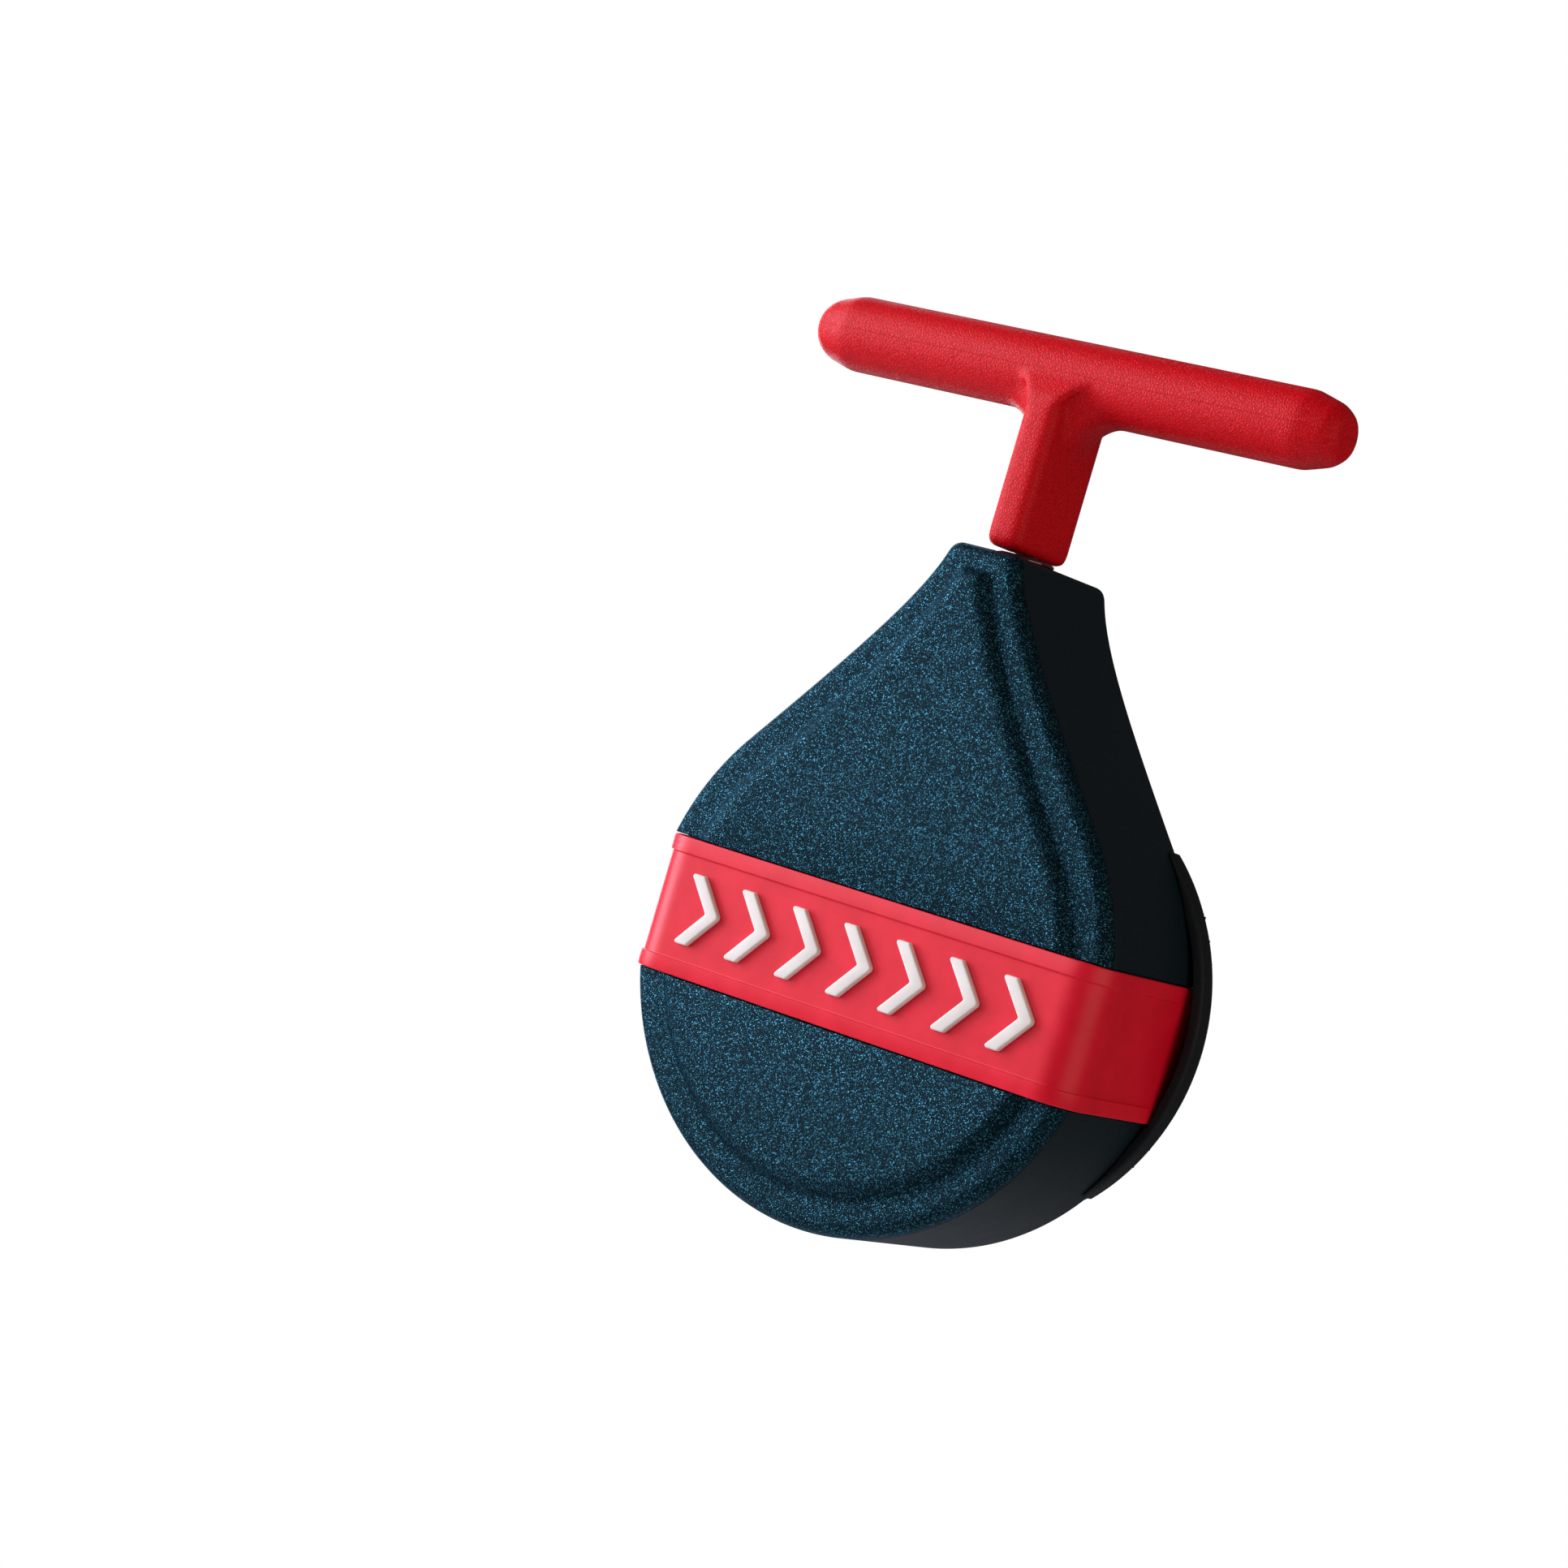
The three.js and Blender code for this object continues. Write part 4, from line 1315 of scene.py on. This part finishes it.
@dataclass
class Strap:
    """The red rubber strap, from its pin round the front and the back to its knob. Millimetres."""

    cradle: Cradle = field(default_factory=Cradle)
    thickness: float = 1.5
    side: float = 44.4
    face: float = -14.5
    corner: float = 6.0
    low: float = -12.7
    high: float = 10.2
    rib_width: float = 2.7
    rib_height: float = 0.4
    rib_end: float = 13.0
    back: float = 27.25
    entry: float = 18.6
    bend_x: float = 41.4
    bead: Pair = (-42.6, 20.2)
    bead_radius: float = 1.6
    tail_x: float = -39.5
    tail_half: float = 8.0
    waist_x: float = -14.0
    waist_length: float = 7.0
    tip_steps: int = 5
    tip_round: float = 3.0
    hole: float = 2.3
    step: float = 0.8

    def path(self) -> np.ndarray:
        """The middle of the band, seen from above, as evenly spaced points."""
        half = self.thickness / 2
        side, front, bend = self.side - half, self.face + half, self.corner - half
        fall = math.tan(self.cradle.slope)
        bend_y = self.back - (self.bend_x - self.cradle.land_out) * fall
        tail_y = self.back - (-self.tail_x - self.cradle.land_out) * fall
        corners = [
            (self.bead[0] + 0.7, self.bead[1] + self.bead_radius, 0), (-side, self.entry, 1.6),
            (-side, front, bend), (side, front, bend), (side, self.entry, 2.2),
            (self.bend_x, bend_y, 2.2), (self.cradle.land_out, self.back, 6),
            (-self.cradle.land_out, self.back, 6),
            (self.tail_x, tail_y, 0),
        ]
        line = [corners[0][:2]]
        for i in range(1, len(corners) - 1):
            piece = rounded([corners[i - 1][:2] + (0,), corners[i], corners[i + 1][:2] + (0,)], 12)
            line += piece[1:-1]
        line.append(corners[-1][:2])
        line = np.array(line)
        length = np.concatenate(([0], np.cumsum(np.linalg.norm(np.diff(line, axis=0), axis=1))))
        at = np.linspace(0, length[-1], int(length[-1] / self.step))
        return np.stack([np.interp(at, length, line[:, k]) for k in (0, 1)], 1)

    def section(self, rib: float, thick: float, low: float, high: float) -> list[Pair]:
        """One cross-section: (outward, z) points, always the same number.

        Args:
            rib: how far the border ribs stand out.
            thick: the band's thickness.
            low: the band's lower edge.
            high: the band's upper edge.

        Returns:
            The closed section.
        """
        t, w, r = thick / 2, self.rib_width, 0.28
        s = 0.10
        inner = [(-t, low + r), (-t + r * 0.3, low + r * 0.3), (-t + r, low)]
        foot = [(t + rib - r, low), (t + rib - r * 0.3, low + r * 0.3), (t + rib, low + r)]
        step = [
            (t + rib, low + w - s), (t + rib * 0.85, low + w - s * 0.4),
            (t + rib * 0.15, low + w), (t, low + w + s),
        ]
        waist = [(t, low + w + 3 * s), (t, (low + high) / 2)]
        lower = inner + foot + step + waist
        mirror = [(x, low + high - z) for x, z in lower[::-1]]
        return lower + mirror[1:]

    def build(self, finish: Material) -> Piece:
        """Makes the strap and puts its finish on.

        Args:
            finish: its material.

        Returns:
            The mounted piece.
        """
        line = self.path()
        along = np.gradient(line, axis=0)
        along /= np.linalg.norm(along, axis=1)[:, None]
        out = np.stack((along[:, 1], -along[:, 0]), 1)
        rings = []
        total = len(line)
        for i, (point, way) in enumerate(zip(line, out)):
            rib = self.rib_height if point[1] < self.rib_end else 0.0
            thick = self.thick_at(i, total, point)
            low, high = self.edges_at(i, total, point[0])
            ring = [
                (point[0] + way[0] * o, point[1] + way[1] * o, z)
                for o, z in self.section(rib, thick, low, high)
            ]
            rings.append(placed(ring))
        piece = loft("strap_band", rings)
        hole = rod("hole", self.hole, -2, 6, Axis.Y, (0, 0, 0), 32)
        boolean(piece, [self.on_slope(hole)])
        return mount(piece, finish, 40, "case", "strap_rubber", "strap")

    def thick_at(self, index: int, total: int, point: np.ndarray) -> float:
        """The band's thickness, which swells to the bead that the pin goes through.

        Args:
            index: which ring.
            total: how many rings there are.
            point: the middle of the band there.

        Returns:
            The thickness.
        """
        if index == 0:
            return 0.5
        off = point[1] - self.bead[1]
        if point[0] < 0 and index < total / 3 and abs(off) < self.bead_radius:
            round_depth = 2 * math.sqrt(max(self.bead_radius**2 - off**2, 0.02))
            return max(self.thickness, round_depth)
        return self.thickness

    def edges_at(self, index: int, total: int, x: float) -> Pair:
        """The band's edges, which come closer on the back and end in a rounded tip.

        Args:
            index: which ring.
            total: how many rings there are.
            x: the middle of the band there.

        Returns:
            The lower and the upper edge.
        """
        if index <= total / 2:
            return self.low, self.high
        middle = (self.low + self.high) / 2
        waist = np.clip((self.waist_x - x) / self.waist_length, 0, 1)
        waist = waist * waist * (3 - 2 * waist)
        end = np.clip((total - 1 - index) / self.tip_steps, 0, 1)
        tip = self.tip_round * (1 - math.sqrt(1 - (1 - end) ** 2))
        low = self.low + (middle - self.tail_half - self.low) * waist + tip
        high = self.high + (middle + self.tail_half - self.high) * waist - tip
        return low, high

    def on_slope(self, piece: Piece) -> Piece:
        """Stands a piece on the cradle's left slope, at the knob.

        Args:
            piece: a piece that is turned about Y.

        Returns:
            The piece.
        """
        x, z = self.cradle.knob
        y = self.cradle.land - (-x - self.cradle.land_out) * math.tan(self.cradle.slope)
        place = Vector(LAYOUT.centre) + Vector((x, y, z)) * MM
        tilt = Matrix.Rotation(self.cradle.slope, 4, "Z")
        piece.data.transform(Matrix.Translation(place) @ tilt)
        return piece


@dataclass
class StrapFittings:
    """The knob that holds the strap's tail and the pin that holds its other end. Millimetres."""

    strap: Strap

    def build(self, knob_finish: Material, pin_finish: Material) -> list[Piece]:
        """Makes the knob and the pin.

        Args:
            knob_finish: the knob's material.
            pin_finish: the pin's material.

        Returns:
            The mounted pieces.
        """
        profile = [
            (AXIS_R, -3), (1.5, -3), (1.5, 2.0), (1.8, 2.2), (3.3, 2.2), (3.7, 2.4), (3.8, 2.8),
            (3.7, 3.15), (3.2, 3.42), (2.2, 3.56), (1.2, 3.6), (AXIS_R, 3.6),
        ]
        knob = self.strap.on_slope(turned("strap_knob_head", profile, Axis.Y, (0, 0, 0), 56))
        low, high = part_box("strap_pin")
        centre = np.array(((low.x + high.x) / 2, (low.y + high.y) / 2, low.z))
        length = (high.z - low.z) / MM
        end = 0.15
        outline = [
            (AXIS_R, 0), (0.6, 0), (0.75, end),
            (0.75, length - end), (0.6, length), (AXIS_R, length),
        ]
        pin = turned("strap_pin_rod", outline, Axis.Z, centre, 32)
        return [
            mount(knob, knob_finish, 40, "case", "inner_plastic", "strap_knob"),
            mount(pin, pin_finish, 35, "case", "steel", "strap_pin"),
        ]


@dataclass
class StrapMark:
    """One raised arrowhead on the strap. Millimetres."""

    index: int
    count: int = 7
    pitch: float = 10.6
    height: float = 12.0
    reach: float = 5.0
    stroke: float = 2.2
    raise_by: float = 0.95
    soften: float = 0.3
    middle: float = -1.25

    def build(self, finish: Material) -> Piece:
        """Makes the arrowhead on the strap's face.

        Args:
            finish: its material.

        Returns:
            The mounted piece.
        """
        centre = (self.index - (self.count - 1) / 2) * self.pitch
        rise = self.height / 2
        wide = self.stroke * math.hypot(rise, self.reach) / rise
        tip = centre + (self.reach + wide) / 2
        base = Layout.highest(f"strap_mark_{self.index + 1}").y
        corners = [
            (tip - self.reach - wide, -rise, 0.4), (tip - self.reach, -rise, 0.5), (tip, 0, 0.8),
            (tip - self.reach, rise, 0.5), (tip - self.reach - wide, rise, 0.4),
            (tip - wide, 0, 0.3),
        ]
        outline = np.array([(x, z + self.middle) for x, z in rounded(corners, 5)])
        levels = [(0.0, base + 0.04), (0.0, base - self.raise_by + self.soften)]
        for turn in np.linspace(0, math.pi / 2, 5)[1:]:
            inset = self.soften * (1 - math.cos(turn))
            levels.append((inset, base - self.raise_by + self.soften * (1 - math.sin(turn))))
        rings = []
        for inset, depth in levels:
            rings.append(placed(upright(shrink(outline, inset), depth)))
        piece = loft(f"strap_mark_face_{self.index + 1}", rings)
        return mount(piece, finish, 40, "case", "mark_rubber", f"strap_mark_{self.index + 1}")


# ---- handle and cord -----------------------------------------------------------------------


@dataclass
class Handle:
    """The T-handle: a round bar with coned ends on a flat stem that flares into it."""

    bar_radius: float = 6.5
    half_length: float = 51.6
    bar_height: float = 100.7
    cone: float = 7.0
    tip: float = 4.6
    stem_half_x: float = 3.4
    stem_half_y: float = 8.8
    stem_bottom: float = 70.5
    stem_edge: float = 2.1
    flare: float = 8.5
    flare_fade: Pair = (3.2, 8.4)
    gusset_start: float = 6.2
    gusset_slope: float = 1.8
    bore: float = 2.5
    bore_top: float = 85.0
    bar_sides: int = 72
    voxel: float = 0.42
    relaxing: int = 18

    def bar_profile(self) -> list[Pair]:
        """(radius, place) along the bar, from one end to the other."""
        end = self.half_length
        corners = [
            (0.0, 0.0, 0), (0.0, end, 0), (self.tip - 1.0, end, 1.6),
            (self.tip + 0.6, end - 2.2, 2.2), (self.bar_radius, end - self.cone, 1.2),
            (self.bar_radius, 0.0, 0),
        ]
        half = rounded(corners, 5)[1:-1]
        half[0] = (0.02, end)
        return half + [(radius, -place) for radius, place in half[::-1]]

    def build(self, finish: Material) -> Piece:
        """Makes the handle as one soft-edged form.

        Args:
            finish: its material.

        Returns:
            The mounted piece.
        """
        piece = self.bar()
        stem = self.stem()
        boolean(piece, [stem], "UNION")
        remesh = piece.modifiers.new("even", "REMESH")
        remesh.mode = "VOXEL"
        remesh.voxel_size = self.voxel * MM
        relax = piece.modifiers.new("relax", "SMOOTH")
        relax.factor = 0.5
        relax.iterations = self.relaxing
        apply_modifiers(piece)
        hole = rod("hole", self.bore, 60, self.bore_top, Axis.Z, segments=48)
        boolean(piece, [hole])
        return mount(piece, finish, 50, "handle", "grip_plastic", "handle_grip")

    def bar(self) -> Piece:
        """The bar alone, along X."""
        rings = []
        for radius, place in self.bar_profile():
            ring = [(place, y, self.bar_height + z) for y, z in circle(radius, self.bar_sides)]
            rings.append(placed(ring))
        return loft("handle_grip_body", rings)

    def fade(self, out: float) -> float:
        """How much the flares have died away at a distance from the middle of the stem."""
        start, end = self.flare_fade
        share = min(max((out - start) / (end - start), 0.0), 1.0)
        return share * share * (3 - 2 * share)

    def stem(self) -> Piece:
        """The flat stem, cut into upright slices whose flares meet the bar's round underside."""
        edge, rings = self.stem_edge, []
        for turn in np.linspace(-math.pi / 2, math.pi / 2, 53):
            y = self.stem_half_y * math.sin(turn)
            rounding = max(abs(y) - (self.stem_half_y - edge), 0.0)
            curve = math.sqrt(max(edge * edge - rounding * rounding, 0.0025))
            half = self.stem_half_x - edge + curve
            foot = self.stem_bottom + edge - curve
            top = self.bar_height - max(abs(y) - self.gusset_start, 0.0) * self.gusset_slope
            round_side = self.bar_height - math.sqrt(max(self.bar_radius**2 - y * y, 0.0))
            under = min(round_side, top - 1.9)
            flare = self.flare * (1 - 0.9 * self.fade(abs(y)))
            right = [(half - 1.2, foot), (half - 0.35, foot + 0.35), (half, foot + 1.2)]
            for step in np.linspace(0, math.pi / 2, 15):
                out = half + flare * (1 - math.cos(step))
                right.append((out, under + 0.15 - flare * (1 - math.sin(step))))
            right.append((half + flare, top))
            ring = [(x, y, z) for x, z in right + [(-x, z) for x, z in right[::-1]]]
            rings.append(placed(ring))
        return loft("stem", rings)


@dataclass
class Outlet:
    """The polished ring that guides the cord out of the neck, and the collar in the stem."""

    def build(self, finish: Material) -> list[Piece]:
        """Makes the ring and the collar.

        Args:
            finish: their material.

        Returns:
            The mounted pieces.
        """
        top = Layout.highest("outlet_eyelet").z
        low = Layout.lowest("outlet_eyelet").z
        seat = OUTLINE.neck_top
        ring = [
            (2.6, low), (3.7, low), (3.7, seat), (5.0, seat),
            (5.2, seat + 0.15), (5.2, seat + 0.35),
            (5.05, top - 0.12), (4.7, top), (3.2, top), (2.75, top - 0.12), (2.4, top - 0.4),
            (2.2, top - 0.8), (2.1, top - 1.3), (2.1, low + 1.2), (2.25, low + 0.5),
        ]
        eyelet = turned("outlet_ring", ring, Axis.Z, segments=72)
        foot = Layout.lowest("stem_collar").z
        head = Layout.highest("stem_collar").z
        sleeve = [
            (1.85, foot), (2.2, foot), (2.3, foot + 0.1),
            (2.3, head), (1.75, head), (1.75, foot + 0.1),
        ]
        collar = turned("stem_collar_ring", sleeve, Axis.Z, segments=56)
        return [
            mount(eyelet, finish, 40, "case", "gloss_plastic", "outlet_eyelet"),
            mount(collar, finish, 40, "handle", "gloss_plastic", "stem_collar"),
        ]


@dataclass
class Cord:
    """The stretch of cord between the case and the handle, which pays out. Millimetres."""

    radius: float = 1.5
    rings: int = 160
    sides: int = 24

    def build(self, finish: Material) -> Piece:
        """Makes the cord from inside the outlet to inside the handle.

        Args:
            finish: its material.

        Returns:
            The piece.
        """
        low, high = Layout.lowest("cord_span").z, Layout.highest("cord_span").z
        rings = []
        for z in np.linspace(low, high, self.rings):
            rings.append(placed([(x, y, z) for x, y in circle(self.radius, self.sides)]))
        piece = smooth(loft("cord_run", rings), 60)
        piece.data.materials.append(finish)
        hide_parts("cord_span")
        LOG.info("%s from case to cord_end: %d faces", piece.name, len(piece.data.polygons))
        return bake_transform(piece)


# ---- carried pieces ------------------------------------------------------------------------


@dataclass
class Inside:
    """The CAD pieces inside the case and the stem, which keep their shape."""

    finishes: dict[str, Material]

    def dress(self, nodes: dict[str, Piece]) -> list[str]:
        """Gives each CAD node that is still shown its finish.

        Args:
            nodes: the CAD nodes by name.

        Returns:
            The names of the nodes that were dressed.
        """
        slots = {row["node"]: row["material_slot"] for row in frame["record"]["subparts"]}
        dressed = []
        for name, node in sorted(nodes.items()):
            if node.hide_render:
                continue
            node.data.materials.clear()
            node.data.materials.append(self.finishes[slots[name]])
            dressed.append(name)
        return dressed


# ---- studio --------------------------------------------------------------------------------


@dataclass(frozen=True)
class Lamp:
    """A soft rectangular light."""

    name: str
    azimuth: float
    elevation: float
    distance: float
    size: Pair
    power: float
    colour: tuple[float, float, float] = (1.0, 1.0, 1.0)


@dataclass
class Studio:
    """Camera, floor, backdrop light and lamps."""

    aim: tuple[float, float, float] = (-0.0173, -0.0436, 0.0234)
    azimuth: float = 35.04
    elevation: float = 0.55
    roll: float = 16.4
    distance: float = 0.630
    lens: float = 89.0
    floor_drop: float = 0.42
    floor_radius: float = 0.6
    lamps: tuple[Lamp, ...] = (
        Lamp("window", -66, 12, 1.0, (0.50, 1.1), 23.0, (0.78, 0.88, 1.0)),
        Lamp("front", -20, 16, 1.3, (0.9, 0.8), 7.5, (0.98, 0.97, 1.0)),
        Lamp("warm", 78, 10, 1.4, (1.3, 1.0), 9.0, (1.0, 0.84, 0.70)),
        Lamp("rim", -130, 6, 1.2, (0.4, 1.2), 7.0, (0.80, 0.88, 1.0)),
    )
    surround: float = 0.08
    surround_colour: Colour = rgb(0.90, 0.95, 1.0)

    @staticmethod
    def direction(azimuth: float, elevation: float) -> Vector:
        """The unit vector towards a place seen at an azimuth and elevation in degrees."""
        a, e = math.radians(azimuth), math.radians(elevation)
        return Vector((math.sin(a) * math.cos(e), -math.cos(a) * math.cos(e), math.sin(e)))

    def camera(self) -> Piece:
        """Makes the camera, turned about its line of sight by the roll."""
        data = bpy.data.cameras.new("camera")
        data.lens = self.lens
        data.sensor_width = 36.0
        data.clip_start, data.clip_end = 0.01, 20.0
        made = bpy.data.objects.new("camera", data)
        bpy.context.scene.collection.objects.link(made)
        back = self.direction(self.azimuth, self.elevation)
        turn = (-back).to_track_quat("-Z", "Y").to_matrix().to_4x4()
        tilt = Matrix.Rotation(math.radians(self.roll), 4, "Z")
        stand = Vector(self.aim) + back * self.distance
        made.matrix_world = Matrix.Translation(stand) @ turn @ tilt
        bpy.context.scene.camera = made
        return made

    def world(self) -> None:
        """A pale surround that the camera sees as white and that lights the piece gently."""
        world = bpy.data.worlds.new("surround")
        bpy.context.scene.world = world
        world.use_nodes = True
        tree = world.node_tree
        tree.nodes.clear()
        output = tree.nodes.new("ShaderNodeOutputWorld")
        light = self.background(tree, self.surround_colour, self.surround)
        seen = self.background(tree, rgb(1.0, 1.0, 1.0), 1.0)
        mix = tree.nodes.new("ShaderNodeMixShader")
        ray = tree.nodes.new("ShaderNodeLightPath")
        tree.links.new(ray.outputs["Is Camera Ray"], mix.inputs[0])
        tree.links.new(light, mix.inputs[1])
        tree.links.new(seen, mix.inputs[2])
        tree.links.new(mix.outputs[0], output.inputs["Surface"])

    @staticmethod
    def background(
        tree: bpy.types.NodeTree, colour: Colour, strength: float
    ) -> bpy.types.NodeSocket:
        """Adds a background of one colour and strength, and returns its output."""
        made = tree.nodes.new("ShaderNodeBackground")
        made.inputs["Color"].default_value = colour
        made.inputs["Strength"].default_value = strength
        return made.outputs[0]

    def floor(self) -> Piece:
        """A pale round floor well below the reel."""
        rings = []
        for radius in (0.001, self.floor_radius * 0.6, self.floor_radius):
            ring = [
                (radius * math.cos(a), radius * math.sin(a), -self.floor_drop)
                for a in np.linspace(0, 2 * math.pi, 96, endpoint=False)
            ]
            rings.append(np.array(ring))
        thick = rings[-1] - np.array((0, 0, 0.01))
        piece = loft("floor", rings + [thick])
        shader = Shader("pale_floor")
        mottle = shader.noise(60 * MM, 2.0)
        pale = shader.mix(mottle, rgb(0.86, 0.86, 0.87), rgb(0.90, 0.90, 0.90))
        piece.data.materials.append(shader.finish(Base_Color=pale, Roughness=0.85))
        return piece

    def light(self) -> None:
        """Adds the lamps."""
        target = Vector(self.aim)
        for lamp in self.lamps:
            data = bpy.data.lights.new(lamp.name, "AREA")
            data.shape = "RECTANGLE"
            data.size, data.size_y = lamp.size
            data.energy = lamp.power
            data.color = lamp.colour
            made = bpy.data.objects.new(lamp.name, data)
            bpy.context.scene.collection.objects.link(made)
            way = self.direction(lamp.azimuth, lamp.elevation)
            made.location = target + way * lamp.distance
            made.rotation_mode = "QUATERNION"
            made.rotation_quaternion = (-way).to_track_quat("-Z", "Y")

    def build(self) -> None:
        """Makes the whole studio."""
        self.world()
        self.floor()
        self.light()
        view = bpy.context.scene.view_settings
        view.view_transform = "Standard"
        view.look = "None"


def build_finishes() -> dict[str, Material]:
    """Makes every material.

    Returns:
        The materials by the record's material slots.
    """
    centre = LAYOUT.centre
    housing = GrainedPlastic(
        "housing_plastic", rgb(0.0015, 0.005, 0.008), rgb(0.004, 0.011, 0.016), gloss=0.16
    )
    cradle = GrainedPlastic(
        "cradle_rubber", rgb(0.005, 0.006, 0.007), rgb(0.008, 0.010, 0.012),
        roughness=0.6, grain=0.4 * MM, gloss=0.15,
    )
    strap = MouldedRubber(
        "strap_rubber", rgb(0.60, 0.003, 0.016), rgb(0.68, 0.004, 0.022), gloss=0.26
    )
    marks = MouldedRubber(
        "mark_rubber", rgb(0.62, 0.53, 0.49), rgb(0.68, 0.59, 0.55), roughness=0.5
    )
    inner = GrainedPlastic(
        "inner_plastic", rgb(0.02, 0.022, 0.025), rgb(0.04, 0.042, 0.046)
    )
    looks = {
        "cover_plastic": MicaPlastic(),
        "housing_plastic": housing,
        "cradle_rubber": cradle,
        "strap_rubber": strap,
        "mark_rubber": marks,
        "grip_plastic": SoftTouch(),
        "gloss_plastic": GlossPlastic("gloss_plastic", rgb(0.05, 0.01, 0.012)),
        "cord_fibre": BraidedCord("cord_fibre", (centre[0], centre[1])),
        "inner_plastic": inner,
        "steel": TurnedMetal("steel", rgb(0.55, 0.56, 0.57)),
        "spring_steel": TurnedMetal("spring_steel", rgb(0.33, 0.35, 0.38), 0.25),
        "brass": TurnedMetal("brass", rgb(0.62, 0.46, 0.20), 0.25),
    }
    return {slot: look.build() for slot, look in looks.items()}


def build_reel(finishes: dict[str, Material]) -> None:
    """Makes the reel's pieces.

    Args:
        finishes: the materials by slot.
    """
    steel = finishes["steel"]
    FrontCover().build(finishes["cover_plastic"])
    RearHousing().build(finishes["housing_plastic"])
    cradle = Cradle()
    cradle.build(finishes["cradle_rubber"])
    strap = Strap(cradle)
    strap.build(finishes["strap_rubber"])
    StrapFittings(strap).build(finishes["inner_plastic"], steel)
    for index in range(StrapMark.count):
        StrapMark(index).build(finishes["mark_rubber"])
    for index in range(1, CASE_SCREWS + 1):
        name, node = f"case_screw_head_{index}", f"case_screw_{index}"
        Screw(name, node, head=2.4, thickness=1.5, shank=1.0).build(steel)
    for index in range(1, CRADLE_SCREWS + 1):
        name, node = f"cradle_screw_head_{index}", f"cradle_screw_{index}"
        Screw(name, node, head=2.6, thickness=0.8, shank=0.9).build(steel)
    Outlet().build(finishes["gloss_plastic"])
    Handle().build(finishes["grip_plastic"])
    Cord().build(finishes["cord_fibre"])
    dressed = Inside(finishes).dress(frame["nodes"])
    LOG.info("dressed CAD nodes: %s", ", ".join(dressed))


def main() -> None:
    """Builds the camera, the pieces and the studio, in order."""
    logging.basicConfig(level=logging.INFO, format="%(name)s: %(message)s")
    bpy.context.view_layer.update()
    studio = Studio()
    studio.camera()
    build_reel(build_finishes())
    studio.build()
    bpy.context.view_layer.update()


if __name__ == "__main__":
    main()
